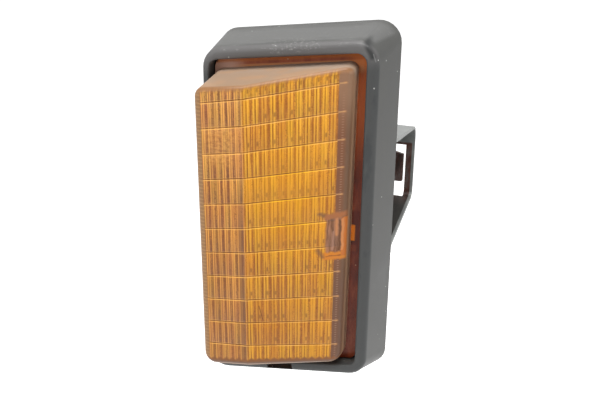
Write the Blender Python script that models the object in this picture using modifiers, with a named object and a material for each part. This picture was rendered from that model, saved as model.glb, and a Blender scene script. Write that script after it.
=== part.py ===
"""Side turn signal lamp, modelled for Blender 4.5.

An upright lamp whose outline leans: its sides are vertical, and its top and
bottom edges rise to the right. X is the width, Y runs from the lens (-Y) to
the rear, and Z is up. The model is built about the middle of the frame's
front outline, and then moved so that the origin is the middle of the whole
lamp. Lengths are in metres.
"""

import math

import bmesh
import bpy
from mathutils import Matrix, Vector

# Housing
LAMP_HEIGHT = 0.0840
LAMP_WIDTH = 0.0415
LEAN = math.radians(7.5)
PANEL_Y = -0.0040
FRAME_DEPTH = 0.0140
FLARE_LEFT = 0.0006
FLARE_RIGHT = 0.0020
FLARE_TOP = 0.0018
FLARE_BOTTOM = 0.0042
FRAME_CORNER = 0.0050
FRAME_EDGE_ROUND = 0.0014
RIM_EDGE_ROUND = 0.0005
RIM_WIDTH = 0.0028
RIM_LEFT_SAVING = 0.0010
SKIRT_WALL = 0.0019
LENS_RECESS = 0.0030
CHANNEL_WIDTH = 0.0030
WEB_THICKNESS = 0.0020
TUB_WALL = 0.0018
TUB_REACH = 0.0060
TUB_TAPER = 0.0012
TOWER_WALL = 0.0016
TOWER_REACH = 0.0295
PRY_SLOT_X = -0.0012
PRY_SLOT_WIDTH = 0.0066
PRY_SLOT_DEPTH = 0.0024
PRY_SLOT_SKIN = 0.0006
HOOK_REACH = 0.0030
HOOK_THICKNESS = 0.0022
HOOK_HEIGHT = 0.0160
HOOK_ROUND = 0.0005
PANEL_GAP = 0.0010

# Lens
LENS_FLANGE = 0.0018
LENS_LEFT_MARGIN = 0.0010
LENS_LEFT_DRAFT = 0.0016
LENS_RIGHT_MARGIN = 0.0024
LENS_TOP_MARGIN = 0.0023
LENS_BOTTOM_MARGIN = 0.0007
LENS_WALL = 0.0015
LENS_CREST = 0.0140
LENS_TOE = 0.0010
LENS_CREST_SHARE = 0.345
LENS_TOP_DROP = 0.0003
LENS_TOE_DROP = 0.0002
LENS_BOTTOM_RISE = 0.0059
LENS_TOE_RISE = 0.0005
LENS_EDGE_ROUND = 0.0012
LENS_INNER_ROUND = 0.0003
FLUTE_PITCH_CREST = 0.0013
FLUTE_PITCH_SLOPE = 0.00137
FLUTE_RADIUS = 0.0005
FLUTE_MARGIN = 0.0012
SMOOTH_STRIP = 0.0027
GROOVES = 11
GROOVE_DEPTH = 0.0003
GROOVE_PITCH = 0.00603
GROOVE_FIRST_Z = 0.03265
GROOVE_TIP_MARGIN = 0.0005
GROOVE_TIP_PITCH = 0.0066
GROOVE_TIP_FIRST_Z = 0.03545
KEY_HEIGHT = 0.0118
KEY_WIDTH = 0.0042
KEY_Z = -0.0027
KEY_BAR = 0.0012
SNAP_WIDTH = 0.0040
SNAP_HEIGHT = 0.0008
SNAP_REACH = 0.0006
SNAP_Z = -0.0015

# Rings and reflector
FIT_GAP = 0.0003
SEAL_THICKNESS = 0.0010
SEAL_WIDTH = 0.0022
REFLECTOR_SHEET = 0.0006
GASKET_WIDTH = 0.0022
GASKET_THICKNESS = 0.0026

# Bulb
SOCKET_X = -0.0020
SOCKET_Z = 0.0
BULB_SETBACK = 0.0060
BULB_BASE_DIAMETER = 0.0150
BULB_BASE_LENGTH = 0.0145
BULB_GLOBE_EXTRA = 0.0010
BULB_GLASS_LENGTH = 0.0190
BULB_GLASS_WALL = 0.0006
BULB_NECK_STEP = 0.0045
BULB_NECK_DEPTH = 0.0060
PIN_DIAMETER = 0.0020
PIN_SETBACK = 0.0062
VITRITE_DIAMETER = 0.0120
VITRITE_THICKNESS = 0.0014
CONTACT_DIAMETER = 0.0044
CONTACT_HEIGHT = 0.0010
STEM_HEIGHT = 0.0100
STEM_DIAMETER = 0.0028
LEAD_DIAMETER = 0.0006
LEAD_LENGTH = 0.0030
LEAD_SPREAD = 0.0050
FILAMENT_WIRE = 0.0003
FILAMENT_COIL = 0.0010
FILAMENT_TURNS = 6

# Socket
SLEEVE_WALL = 0.0005
SLEEVE_COLLAR = 0.0010
COLLAR_THICKNESS = 0.0005
SLEEVE_TAIL = 0.0007
SLOT_TURN = 0.0030
PLUNGER_HEAD = 0.0050
PLUNGER_HEAD_THICKNESS = 0.0012
PLUNGER_STEM = 0.0030
PLUNGER_TAIL = 0.0012
INSULATOR_THICKNESS = 0.0020
SPRING_WIRE = 0.0007
SPRING_DIAMETER = 0.0086
SPRING_TURNS = 4
BLADE_THICKNESS = 0.0008
BLADE_WIDTH = 0.0050
BLADE_REACH = 0.0065
BLADE_HOLE = 0.0016
LIVE_FOOT = 0.0096
EARTH_SETBACK = 0.0004

# Spring clip and its rivets
CLIP_SHEET = 0.0008
CLIP_OVERHANG = 0.00065
CLIP_WIDTH = 0.0131
CLIP_DEPTH = 0.0330
CLIP_TOP_FRONT_Z = 0.0152
CLIP_TOP_BACK_Z = 0.0110
CLIP_BOTTOM_BACK_Z = -0.0088
CLIP_BOTTOM_FRONT_Z = -0.0128
CLIP_TOP_BEND = 0.0035
CLIP_BOTTOM_BEND = 0.0020
CLIP_FOOT_BEND = 0.0009
CLIP_FOOT_HEIGHT = 0.0110
CLIP_FOOT_WIDTH = 0.0076
CLIP_LIP = 0.0020
CLIP_WINDOW_SETBACK = 0.0069
CLIP_WINDOW_WIDTH = 0.0092
CLIP_WINDOW_TOP = 0.0056
CLIP_WINDOW_BOTTOM = -0.0096
TONGUE_GAP = 0.0008
TONGUE_TOP = 0.0028
TONGUE_BOTTOM = -0.0072
TONGUE_SLANT = math.radians(14.0)
TONGUE_BOW = 0.0014
RIVET_SHANK = 0.0026
RIVET_HEAD = 0.0042
RIVET_HEAD_THICKNESS = 0.0008
RIVET_SETBACK = 0.01045
RIVET_LOW_Z = 0.0186
RIVET_SPACING = 0.0050

# Facets
CORNER_STEPS = 7
EDGE_STEPS = 4
BEND_STEPS = 4
ROUND_STEPS = 24

# Planes along the depth, worked out from the sizes above
RIM_Y = PANEL_Y - FRAME_DEPTH
FLANGE_FRONT_Y = RIM_Y + LENS_RECESS
FLANGE_BACK_Y = FLANGE_FRONT_Y + LENS_FLANGE
SEAL_FRONT_Y = FLANGE_BACK_Y + FIT_GAP
SEAL_BACK_Y = SEAL_FRONT_Y + SEAL_THICKNESS
REFLECTOR_FRONT_Y = SEAL_BACK_Y + FIT_GAP
REFLECTOR_BACK_Y = REFLECTOR_FRONT_Y + REFLECTOR_SHEET
SEAT_Y = REFLECTOR_BACK_Y + FIT_GAP
CREST_Y = RIM_Y - LENS_CREST
TOE_Y = RIM_Y - LENS_TOE
TUB_BACK_Y = PANEL_Y + TUB_REACH
FLOOR_Y = TUB_BACK_Y - TUB_WALL
TOWER_BACK_Y = PANEL_Y + TOWER_REACH
BORE_END_Y = TOWER_BACK_Y - TOWER_WALL
BULB_RIM_Y = TUB_BACK_Y - BULB_SETBACK
BASE_END_Y = BULB_RIM_Y + BULB_BASE_LENGTH
PIN_Y = BASE_END_Y - PIN_SETBACK
VITRITE_END_Y = BASE_END_Y + FIT_GAP + VITRITE_THICKNESS
CONTACT_END_Y = VITRITE_END_Y + FIT_GAP + CONTACT_HEIGHT
PLUNGER_Y = CONTACT_END_Y + FIT_GAP
INSULATOR_Y = PLUNGER_Y + PLUNGER_HEAD_THICKNESS + FIT_GAP
INSULATOR_END_Y = INSULATOR_Y + INSULATOR_THICKNESS
SLEEVE_END_Y = INSULATOR_END_Y + SLEEVE_TAIL
LIVE_Y = BORE_END_Y - FIT_GAP - BLADE_THICKNESS
CLIP_FACE_Y = TUB_BACK_Y + FIT_GAP
CLIP_BACK_Y = PANEL_Y + CLIP_DEPTH - CLIP_SHEET / 2

# Insets from the outline of the frame's front
FLANGE_INSET = RIM_WIDTH + FIT_GAP
TUB_OUTER_INSET = SKIRT_WALL + CHANNEL_WIDTH
TUB_INNER_INSET = TUB_OUTER_INSET + TUB_WALL
REFLECTOR_INSET = TUB_INNER_INSET + FIT_GAP

# The wedge of the lens
FLANGE_LEFT = FLANGE_INSET - RIM_LEFT_SAVING - LAMP_WIDTH / 2
FLANGE_RIGHT = LAMP_WIDTH / 2 - FLANGE_INSET
LENS_LEFT = FLANGE_LEFT + LENS_LEFT_MARGIN
LENS_RIGHT = FLANGE_RIGHT - LENS_RIGHT_MARGIN
CREST_LEFT = LENS_LEFT + LENS_LEFT_DRAFT
LENS_FOLD_X = CREST_LEFT + LENS_CREST_SHARE * (LENS_RIGHT - CREST_LEFT)
FLUTE_END_X = LENS_RIGHT - SMOOTH_STRIP
GROOVE_TIP_X = LENS_RIGHT - GROOVE_TIP_MARGIN
LENS_TOP = LAMP_HEIGHT / 2 - (FLANGE_INSET + LENS_TOP_MARGIN) / math.cos(LEAN)
LENS_BOTTOM = (FLANGE_INSET + LENS_BOTTOM_MARGIN) / math.cos(LEAN) - LAMP_HEIGHT / 2
LENS_SLOPE = (LENS_CREST - LENS_TOE) / (LENS_RIGHT - LENS_FOLD_X)

# Places of the clip, its window and its rivets, from the frame's right side
CLIP_RIGHT = LAMP_WIDTH / 2 + CLIP_OVERHANG
CLIP_WINDOW_X = CLIP_RIGHT - CLIP_WINDOW_SETBACK
RIVET_X = LAMP_WIDTH / 2 - RIVET_SETBACK

# Sizes of the bulb's glass that follow its base
BULB_GLOBE_DIAMETER = BULB_BASE_DIAMETER + BULB_GLOBE_EXTRA
BULB_NECK_DIAMETER = BULB_BASE_DIAMETER - BULB_NECK_STEP

# Place of the front outline's middle, seen from the middle of the whole lamp
MIDDLE_X = (FLARE_LEFT - FLARE_RIGHT) / 2
MIDDLE_Y = -(CREST_Y + TOWER_BACK_Y + BLADE_REACH) / 2
MIDDLE_Z = (FLARE_BOTTOM - FLARE_TOP) / 2 + MIDDLE_X * math.tan(LEAN)

# Radii of the socket, from the bulb outwards, and the height of its earth blade
SLEEVE_INNER = BULB_BASE_DIAMETER / 2 + FIT_GAP
SLEEVE_OUTER = SLEEVE_INNER + SLEEVE_WALL
BORE_RADIUS = SLEEVE_OUTER + FIT_GAP
COLLAR_RADIUS = SLEEVE_OUTER + SLEEVE_COLLAR
EARTH_Z = SOCKET_Z - SLEEVE_INNER + EARTH_SETBACK

COLLECTION = "side_turn_signal_lamp"
CUTTERS = "cutters"


def clear_scene():
    """Remove whatever the file holds, so that the model starts empty."""
    for obj in list(bpy.data.objects):
        bpy.data.objects.remove(obj, do_unlink=True)
    for group in list(bpy.data.collections):
        bpy.data.collections.remove(group)


def make_collection(name):
    group = bpy.data.collections.new(name)
    bpy.context.scene.collection.children.link(group)
    return group


def make_material(name, colour, roughness, metallic=0.0, transmission=0.0):
    material = bpy.data.materials.new(name)
    material.use_nodes = True
    shader = material.node_tree.nodes["Principled BSDF"]
    shader.inputs["Base Color"].default_value = (*colour, 1.0)
    shader.inputs["Roughness"].default_value = roughness
    shader.inputs["Metallic"].default_value = metallic
    shader.inputs["Transmission Weight"].default_value = transmission
    return material


def add_object(name, mesh, material=None):
    """Put a mesh in the lamp's collection with its own material."""
    obj = bpy.data.objects.new(name, mesh)
    bpy.data.collections[COLLECTION].objects.link(obj)
    if material:
        mesh.materials.clear()
        mesh.materials.append(material)
    return obj


def boolean(obj, operation, helper):
    """Add a Boolean, and keep its helper shape out of the finished model."""
    bpy.data.collections[COLLECTION].objects.unlink(helper)
    bpy.data.collections[CUTTERS].objects.link(helper)
    helper.hide_render = True
    helper.display_type = "WIRE"
    modifier = obj.modifiers.new(operation.title(), "BOOLEAN")
    modifier.operation = operation
    modifier.solver = "EXACT"
    modifier.object = helper


def mesh_from(name, build):
    """Make a mesh datablock from a function that fills a bmesh."""
    shape = bmesh.new()
    build(shape)
    bmesh.ops.recalc_face_normals(shape, faces=shape.faces)
    if shape.calc_volume(signed=True) < 0:
        bmesh.ops.reverse_faces(shape, faces=shape.faces)
    mesh = bpy.data.meshes.new(name)
    shape.to_mesh(mesh)
    shape.free()
    return mesh


def smooth(obj, angle=32.0):
    obj.data.shade_smooth()
    obj.data.set_sharp_from_angle(angle=math.radians(angle))
    return obj


def box(name, x, y, z, material=None):
    """A box between pairs of limits along each axis."""
    def build(shape):
        bmesh.ops.create_cube(shape, size=1.0)
        size = Vector((x[1] - x[0], y[1] - y[0], z[1] - z[0]))
        middle = Vector((x[0] + x[1], y[0] + y[1], z[0] + z[1])) / 2
        bmesh.ops.scale(shape, vec=size, verts=shape.verts)
        bmesh.ops.translate(shape, vec=middle, verts=shape.verts)
    return add_object(name, mesh_from(name, build), material)


def cylinder(name, diameter, y, x, z, material=None, steps=ROUND_STEPS):
    """A cylinder along Y between two limits."""
    def build(shape):
        bmesh.ops.create_cone(
            shape, cap_ends=True, segments=steps, radius1=diameter / 2,
            radius2=diameter / 2, depth=y[1] - y[0],
            matrix=Matrix.Translation((x, (y[0] + y[1]) / 2, z))
            @ Matrix.Rotation(math.radians(90), 4, "X"))
    return smooth(add_object(name, mesh_from(name, build), material))


def turned(name, profile, x, z, material, closed=False, steps=ROUND_STEPS):
    """Turn a profile of (radius, y) about an axis along Y.

    An open profile starts and ends on the axis, and runs from the lens side
    to the rear. A closed one is the section of a ring.
    """
    mesh = bpy.data.meshes.new(name)
    points = [(radius, 0.0, -y) for radius, y in profile]
    edges = [(i, i + 1) for i in range(len(points) - 1)]
    if closed:
        edges.append((len(points) - 1, 0))
    mesh.from_pydata(points, edges, [])
    obj = add_object(name, mesh, material)
    obj.location = (x, 0.0, z)
    obj.rotation_euler = (math.radians(90), 0.0, 0.0)
    screw = obj.modifiers.new("Turn", "SCREW")
    screw.axis = "Z"
    screw.steps = steps
    screw.render_steps = steps
    screw.use_merge_vertices = True
    screw.merge_threshold = 0.00001
    return obj


def wire(name, points, diameter, material=None, sides=2):
    """A round wire through the points, with closed ends, as a mesh."""
    curve = bpy.data.curves.new(name, "CURVE")
    curve.dimensions = "3D"
    curve.bevel_depth = diameter / 2
    curve.bevel_resolution = sides
    curve.use_fill_caps = True
    spline = curve.splines.new("POLY")
    spline.points.add(len(points) - 1)
    for target, point in zip(spline.points, points):
        target.co = (*point, 1.0)
    guide = bpy.data.objects.new(name + "_path", curve)
    bpy.data.collections[COLLECTION].objects.link(guide)
    bpy.context.view_layer.update()
    evaluated = guide.evaluated_get(bpy.context.evaluated_depsgraph_get())
    mesh = bpy.data.meshes.new_from_object(evaluated)
    mesh.name = name
    bpy.data.objects.remove(guide, do_unlink=True)
    shape = bmesh.new()
    shape.from_mesh(mesh)
    bmesh.ops.remove_doubles(shape, verts=shape.verts, dist=0.000001)
    bmesh.ops.recalc_face_normals(shape, faces=shape.faces)
    shape.to_mesh(mesh)
    shape.free()
    return add_object(name, mesh, material)


def joined(name, objects, material=None):
    """Join helper shapes that don't meet into one object."""
    shape = bmesh.new()
    for obj in objects:
        shape.from_mesh(obj.data)
        mesh = obj.data
        bpy.data.objects.remove(obj, do_unlink=True)
        bpy.data.meshes.remove(mesh)
    mesh = bpy.data.meshes.new(name)
    shape.to_mesh(mesh)
    shape.free()
    return add_object(name, mesh, material)


def rounded(corners, radii, steps):
    """Round the corners of a path with arcs. A radius of 0 keeps the point."""
    points = []
    for i, (corner, radius) in enumerate(zip(corners, radii)):
        corner = Vector(corner)
        if radius == 0:
            points.append(corner)
            continue
        before = (Vector(corners[i - 1]) - corner).normalized()
        after = (Vector(corners[(i + 1) % len(corners)]) - corner).normalized()
        half = before.angle(after) / 2
        centre = corner + (before + after).normalized() * radius / math.sin(half)
        start = (corner + before * radius / math.tan(half) - centre).normalized()
        end = (corner + after * radius / math.tan(half) - centre).normalized()
        for step in range(steps + 1):
            points.append(centre + start.slerp(end, step / steps) * radius)
    return points


def lean(x):
    """Height that the leaning edges gain at a place across the width."""
    return x * math.tan(LEAN)


def left_edge(inset):
    """Left side of the outline at an inset. The rim is narrower there."""
    return inset - RIM_LEFT_SAVING * min(max(inset / RIM_WIDTH, 0.0), 1.0) - LAMP_WIDTH / 2


def outline(inset, flare=0.0):
    """The lamp's leaning outline, moved in by an inset, with round corners.

    A flare of 1 adds all the draft that the frame has gained at the panel.
    """
    left = left_edge(inset) - flare * FLARE_LEFT
    right = LAMP_WIDTH / 2 - inset + flare * FLARE_RIGHT
    half_height = LAMP_HEIGHT / 2 - inset / math.cos(LEAN)
    low = -half_height - flare * FLARE_BOTTOM
    high = half_height + flare * FLARE_TOP
    corners = [(x, z + lean(x)) for x, z in ((left, low), (right, low), (right, high), (left, high))]
    radius = max(FRAME_CORNER - inset, FRAME_EDGE_ROUND)
    return rounded(corners, [radius] * 4, CORNER_STEPS)


def flare_at(y):
    """Share of the frame's flare that is reached at a depth."""
    return (y - RIM_Y) / FRAME_DEPTH


def swept(name, section, material=None, closed=False):
    """Loft the lamp's outline through a section of (inset, y) points.

    A third value is the share of the frame's flare. A closed section makes a
    ring. An open one is capped at both ends.
    """
    def build(shape):
        rings = [[shape.verts.new((x, y, z)) for x, z in outline(inset, *flare)]
                 for inset, y, *flare in section]
        pairs = list(zip(rings, rings[1:]))
        if closed:
            pairs.append((rings[-1], rings[0]))
        for first, second in pairs:
            for i in range(len(first)):
                shape.faces.new((first[i - 1], first[i], second[i], second[i - 1]))
        if not closed:
            bmesh.ops.contextual_create(shape, geom=rings[0])
            bmesh.ops.contextual_create(shape, geom=rings[-1])
    return add_object(name, mesh_from(name, build), material)


def rounded_front(inset, y, radius, outer):
    """Points of a rounded front edge, from one side to the other."""
    points = []
    for step in range(EDGE_STEPS + 1):
        angle = math.radians(90) * step / EDGE_STEPS
        if outer:
            points.append((inset + radius - radius * math.cos(angle),
                           y + radius - radius * math.sin(angle)))
        else:
            points.append((inset - radius + radius * math.sin(angle),
                           y + radius - radius * math.cos(angle)))
    return points


def make_housing(material):
    """Black bezel, seat, tub and socket tower, moulded in one piece."""
    section = [(TUB_INNER_INSET + TUB_TAPER, FLOOR_Y), (TUB_INNER_INSET, SEAT_Y),
               (RIM_WIDTH, SEAT_Y)]
    section += reversed(rounded_front(RIM_WIDTH, RIM_Y, RIM_EDGE_ROUND, outer=False))
    section += reversed(rounded_front(0.0, RIM_Y, FRAME_EDGE_ROUND, outer=True))
    web_y = SEAT_Y + WEB_THICKNESS
    section += [(0.0, PANEL_Y, 1.0), (SKIRT_WALL, PANEL_Y, 1.0), (SKIRT_WALL, web_y, flare_at(web_y)),
                (TUB_OUTER_INSET, web_y), (TUB_OUTER_INSET + TUB_TAPER, TUB_BACK_Y)]
    housing = smooth(swept("housing", section, material))

    tower = cylinder("tower", 2 * (BORE_RADIUS + TOWER_WALL), (FLOOR_Y + TUB_WALL / 2, TOWER_BACK_Y),
                     SOCKET_X, SOCKET_Z)
    bore = cylinder("tower_bore", 2 * BORE_RADIUS, (FLOOR_Y - TUB_WALL, BORE_END_Y),
                    SOCKET_X, SOCKET_Z)
    slots = [blade_slot(z) for z in (SOCKET_Z, EARTH_Z)]
    holes = [cylinder("hole", RIVET_SHANK + 2 * FIT_GAP,
                      (FLOOR_Y - TUB_WALL, TUB_BACK_Y + TUB_WALL), RIVET_X, z)
             for z in rivet_heights()]
    boolean(housing, "UNION", tower)
    boolean(housing, "DIFFERENCE", bore)
    boolean(housing, "UNION", hook())
    boolean(housing, "DIFFERENCE", pry_slot())
    boolean(housing, "DIFFERENCE", joined("snap_pockets", snap_blocks("pocket", FIT_GAP)))
    boolean(housing, "DIFFERENCE", joined("blade_slots", slots))
    boolean(housing, "DIFFERENCE", joined("rivet_holes", holes))
    return housing


def hook():
    """Fixed lug on the left of the tub, which grips behind the panel's edge."""
    wall_x = left_edge(TUB_OUTER_INSET + TUB_TAPER)
    middle = lean(wall_x)
    lug = box("hook", (wall_x - HOOK_REACH, wall_x + TUB_WALL / 2),
              (PANEL_Y + PANEL_GAP, PANEL_Y + PANEL_GAP + HOOK_THICKNESS),
              (middle - HOOK_HEIGHT / 2, middle + HOOK_HEIGHT / 2))
    bevel = lug.modifiers.new("Round", "BEVEL")
    bevel.width = HOOK_ROUND
    bevel.segments = 2
    return lug


def pry_slot():
    """Notch in the lower rim, where a blade lifts the lens out."""
    half = PRY_SLOT_WIDTH / 2
    slot = box("pry_slot", (-half, half), (RIM_Y - PRY_SLOT_DEPTH, RIM_Y + PRY_SLOT_DEPTH),
               (PRY_SLOT_SKIN, 2 * RIM_WIDTH))
    slot.location = (PRY_SLOT_X, 0.0, lean(PRY_SLOT_X) - LAMP_HEIGHT / 2)
    slot.rotation_euler = (0.0, -LEAN, 0.0)
    return slot


def snap_blocks(name, gap):
    """Lens nibs at both sides, or with a gap the pockets that take them."""
    reach = SNAP_REACH + gap
    y = (FLANGE_FRONT_Y + FLANGE_BACK_Y) / 2
    reach_y = SNAP_HEIGHT / 2 + gap
    reach_z = SNAP_WIDTH / 2 + gap
    return [box(name, x, (y - reach_y, y + reach_y), (SNAP_Z - reach_z, SNAP_Z + reach_z))
            for x in ((FLANGE_LEFT - reach, FLANGE_LEFT + LENS_LEFT_MARGIN / 2),
                      (FLANGE_RIGHT - LENS_RIGHT_MARGIN / 2, FLANGE_RIGHT + reach))]


def blade_slot(z):
    """Slot through the tower's back wall for a terminal's blade."""
    half_x = BLADE_WIDTH / 2 + FIT_GAP
    half_z = BLADE_THICKNESS / 2 + FIT_GAP
    return box("blade_slot", (SOCKET_X - half_x, SOCKET_X + half_x),
               (BORE_END_Y - TOWER_WALL, TOWER_BACK_Y + TOWER_WALL), (z - half_z, z + half_z))


def rivet_heights():
    return (RIVET_LOW_Z, RIVET_LOW_Z + RIVET_SPACING)


def inner_fold_x(wall):
    """Where the fold lies on a surface parallel to the lens's face."""
    return LENS_FOLD_X - wall * math.tan(math.atan(LENS_SLOPE) / 2)


def face_y(x, wall=0.0):
    """Depth of the lens's face, or of its inner side, across the width."""
    return CREST_Y + wall + max(0.0, LENS_SLOPE * (x - inner_fold_x(wall)))


def wedge(name, wall, base_y, edge_round, segments, material=None):
    """The lens's wedge as a solid, moved in by a wall, with rounded edges."""
    right = LENS_RIGHT - wall
    draft = LENS_LEFT_DRAFT * (base_y - FLANGE_FRONT_Y) / (FLANGE_FRONT_Y - CREST_Y)
    rows = ((LENS_LEFT + wall - draft, base_y, 0.0, 0.0),
            (right, base_y, 0.0, 0.0),
            (CREST_LEFT + wall, CREST_Y + wall, LENS_TOP_DROP, LENS_BOTTOM_RISE),
            (inner_fold_x(wall), CREST_Y + wall, LENS_TOP_DROP, LENS_BOTTOM_RISE),
            (right, face_y(right, wall), LENS_TOE_DROP, LENS_TOE_RISE))

    def build(shape):
        for x, y, drop, rise in rows:
            shape.verts.new((x, y, LENS_TOP - wall - drop + lean(x)))
            shape.verts.new((x, y, LENS_BOTTOM + wall + rise + lean(x)))
        bmesh.ops.convex_hull(shape, input=shape.verts)
        bmesh.ops.dissolve_limit(shape, angle_limit=math.radians(1.0),
                                 verts=shape.verts, edges=shape.edges)
    block = add_object(name, mesh_from(name, build), material)
    bevel = block.modifiers.new("Round", "BEVEL")
    bevel.width = edge_round
    bevel.segments = segments
    bevel.limit_method = "ANGLE"
    bevel.angle_limit = math.radians(24)
    return block


def flute_limits(x):
    """Lower and upper ends of a flute, clear of the lens's end walls."""
    share = (FLANGE_FRONT_Y - face_y(x, LENS_WALL)) / (FLANGE_FRONT_Y - CREST_Y)
    share = min(max(share, 0.0), 1.0)
    inside = LENS_WALL + FLUTE_MARGIN
    return (LENS_BOTTOM + LENS_BOTTOM_RISE * share + inside + lean(x),
            LENS_TOP - LENS_TOP_DROP * share - inside + lean(x))


def flutes():
    """Upright half-round flutes on the inner side of the crest and slope."""
    left = CREST_LEFT + LENS_WALL + FLUTE_RADIUS
    span = LENS_FOLD_X - 2 * FLUTE_RADIUS - left
    steps = round(span / FLUTE_PITCH_CREST)
    places = [left + span / steps * i for i in range(steps + 1)]
    span = FLUTE_END_X - LENS_FOLD_X
    steps = round(span / FLUTE_PITCH_SLOPE)
    places += [LENS_FOLD_X + span / steps * (i + 0.5) for i in range(steps)]
    bars = []
    for x in places:
        low, high = flute_limits(x)
        y = face_y(x, LENS_WALL)
        bars.append(wire("flute", [(x, y, low), (x, y, high)], 2 * FLUTE_RADIUS, sides=1))
    return joined("flutes", bars)


def grooves():
    """Fine V-grooves that lean across the crest and fan out down the slope."""
    cuts = []
    for index in range(GROOVES):
        fold_z = GROOVE_FIRST_Z - GROOVE_PITCH * index
        tip_z = GROOVE_TIP_FIRST_Z - GROOVE_TIP_PITCH * index
        rise = (tip_z - fold_z) / (GROOVE_TIP_X - LENS_FOLD_X)
        left = CREST_LEFT - GROOVE_DEPTH
        right = LENS_RIGHT + GROOVE_DEPTH
        path = [(left, face_y(left), fold_z + lean(left - LENS_FOLD_X)),
                (LENS_FOLD_X, CREST_Y, fold_z),
                (right, face_y(right), fold_z + rise * (right - LENS_FOLD_X))]
        cuts.append(wire("groove", path, 2 * GROOVE_DEPTH, sides=0))
    return joined("grooves", cuts)


def key_frame():
    """Three-sided stiffening frame behind the lens's right wall."""
    right = LENS_RIGHT - LENS_WALL / 2
    left = right - KEY_WIDTH
    front = face_y(right, LENS_WALL / 2)
    low = KEY_Z - KEY_HEIGHT / 2
    high = KEY_Z + KEY_HEIGHT / 2
    frame = box("key_frame", (left, right), (front, FLANGE_BACK_Y - FIT_GAP), (low, high))
    gap = box("key_gap", (left - KEY_BAR, right - LENS_WALL / 2 - KEY_BAR),
              (front - KEY_BAR, FLANGE_BACK_Y), (low + KEY_BAR, high - KEY_BAR))
    boolean(frame, "DIFFERENCE", gap)
    return frame


def make_lens(material):
    """Amber wedge with its flange, nibs, flutes, grooves and key frame."""
    lens = wedge("lens", 0.0, FLANGE_BACK_Y - FIT_GAP, LENS_EDGE_ROUND, 3, material)
    flange = swept("lens_flange", [(FLANGE_INSET, FLANGE_FRONT_Y), (FLANGE_INSET, FLANGE_BACK_Y)])
    hollow = wedge("lens_hollow", LENS_WALL, SEAT_Y, LENS_INNER_ROUND, 1)
    boolean(lens, "UNION", flange)
    boolean(lens, "DIFFERENCE", hollow)
    boolean(lens, "UNION", joined("snap_nibs", snap_blocks("nib", 0.0)))
    boolean(lens, "UNION", key_frame())
    boolean(lens, "UNION", flutes())
    boolean(lens, "DIFFERENCE", grooves())
    return lens


def make_ring(name, inset, width, front, back, material, flare=(0.0, 0.0)):
    """A flat ring that follows the lamp's outline, with its flare at both faces."""
    return smooth(swept(name, [(inset, front, flare[0]), (inset, back, flare[1]),
                               (inset + width, back, flare[1]), (inset + width, front, flare[0])],
                        material, closed=True))


def make_reflector(material):
    """Pressed dish that lines the tub, with a hole for the bulb."""
    floor_back = FLOOR_Y - RIVET_HEAD_THICKNESS - 2 * FIT_GAP
    floor_front = floor_back - REFLECTOR_SHEET
    section = [(REFLECTOR_INSET + TUB_TAPER + REFLECTOR_SHEET, floor_front),
               (REFLECTOR_INSET + REFLECTOR_SHEET, REFLECTOR_FRONT_Y),
               (FLANGE_INSET, REFLECTOR_FRONT_Y), (FLANGE_INSET, REFLECTOR_BACK_Y),
               (REFLECTOR_INSET, REFLECTOR_BACK_Y), (REFLECTOR_INSET + TUB_TAPER, floor_back)]
    reflector = smooth(swept("reflector", section, material))
    boolean(reflector, "DIFFERENCE", cylinder(
        "bulb_hole", 2 * (COLLAR_RADIUS + FIT_GAP),
        (floor_front - REFLECTOR_SHEET, floor_back + REFLECTOR_SHEET), SOCKET_X, SOCKET_Z))
    return reflector


def make_bulb_base(material):
    """Brass cap with its two bayonet pins, filled around the glass neck."""
    radius = BULB_BASE_DIAMETER / 2
    neck = BULB_NECK_DIAMETER / 2 + FIT_GAP
    edge = (radius - neck) / 4
    base = turned("bulb_base", [
        (0.0, BULB_RIM_Y + BULB_NECK_DEPTH), (neck, BULB_RIM_Y + BULB_NECK_DEPTH),
        (neck, BULB_RIM_Y), (radius - edge, BULB_RIM_Y), (radius, BULB_RIM_Y + edge),
        (radius, BASE_END_Y - edge), (radius - edge, BASE_END_Y), (0.0, BASE_END_Y)],
        SOCKET_X, SOCKET_Z, material)

    def build(shape):
        bmesh.ops.create_cone(
            shape, cap_ends=True, segments=ROUND_STEPS // 2, radius1=PIN_DIAMETER / 2,
            radius2=PIN_DIAMETER / 2, depth=2 * SLEEVE_OUTER,
            matrix=Matrix.Translation((SOCKET_X, PIN_Y, SOCKET_Z))
            @ Matrix.Rotation(math.radians(90), 4, "Y"))
    boolean(base, "UNION", add_object("bayonet_pins", mesh_from("bayonet_pins", build)))
    return base


def make_bulb_end(vitrite_material, contact_material):
    """Black glass insulator and the solder contact in its middle."""
    back = BASE_END_Y + FIT_GAP
    turned("bulb_insulator", [
        (0.0, back), (VITRITE_DIAMETER / 2, back), (CONTACT_DIAMETER / 2 + FIT_GAP, VITRITE_END_Y),
        (0.0, VITRITE_END_Y)], SOCKET_X, SOCKET_Z, vitrite_material)
    front = VITRITE_END_Y + FIT_GAP
    turned("bulb_contact", [
        (0.0, front), (CONTACT_DIAMETER / 2, front),
        (CONTACT_DIAMETER / 3, CONTACT_END_Y - CONTACT_HEIGHT / 4), (0.0, CONTACT_END_Y)],
        SOCKET_X, SOCKET_Z, contact_material)


def globe_side(offset):
    """Side of the globe and neck, moved in by an offset, from tip to neck."""
    radius = BULB_GLOBE_DIAMETER / 2 - offset
    neck = BULB_NECK_DIAMETER / 2 - offset
    centre = BULB_RIM_Y - BULB_GLASS_LENGTH + BULB_GLOBE_DIAMETER / 2
    end = math.pi - math.asin(neck / radius)
    steps = ROUND_STEPS // 2
    points = [(radius * math.sin(end * i / steps), centre - radius * math.cos(end * i / steps))
              for i in range(steps + 1)]
    return points + [(neck, BULB_RIM_Y + BULB_NECK_DEPTH - FIT_GAP)]


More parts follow.
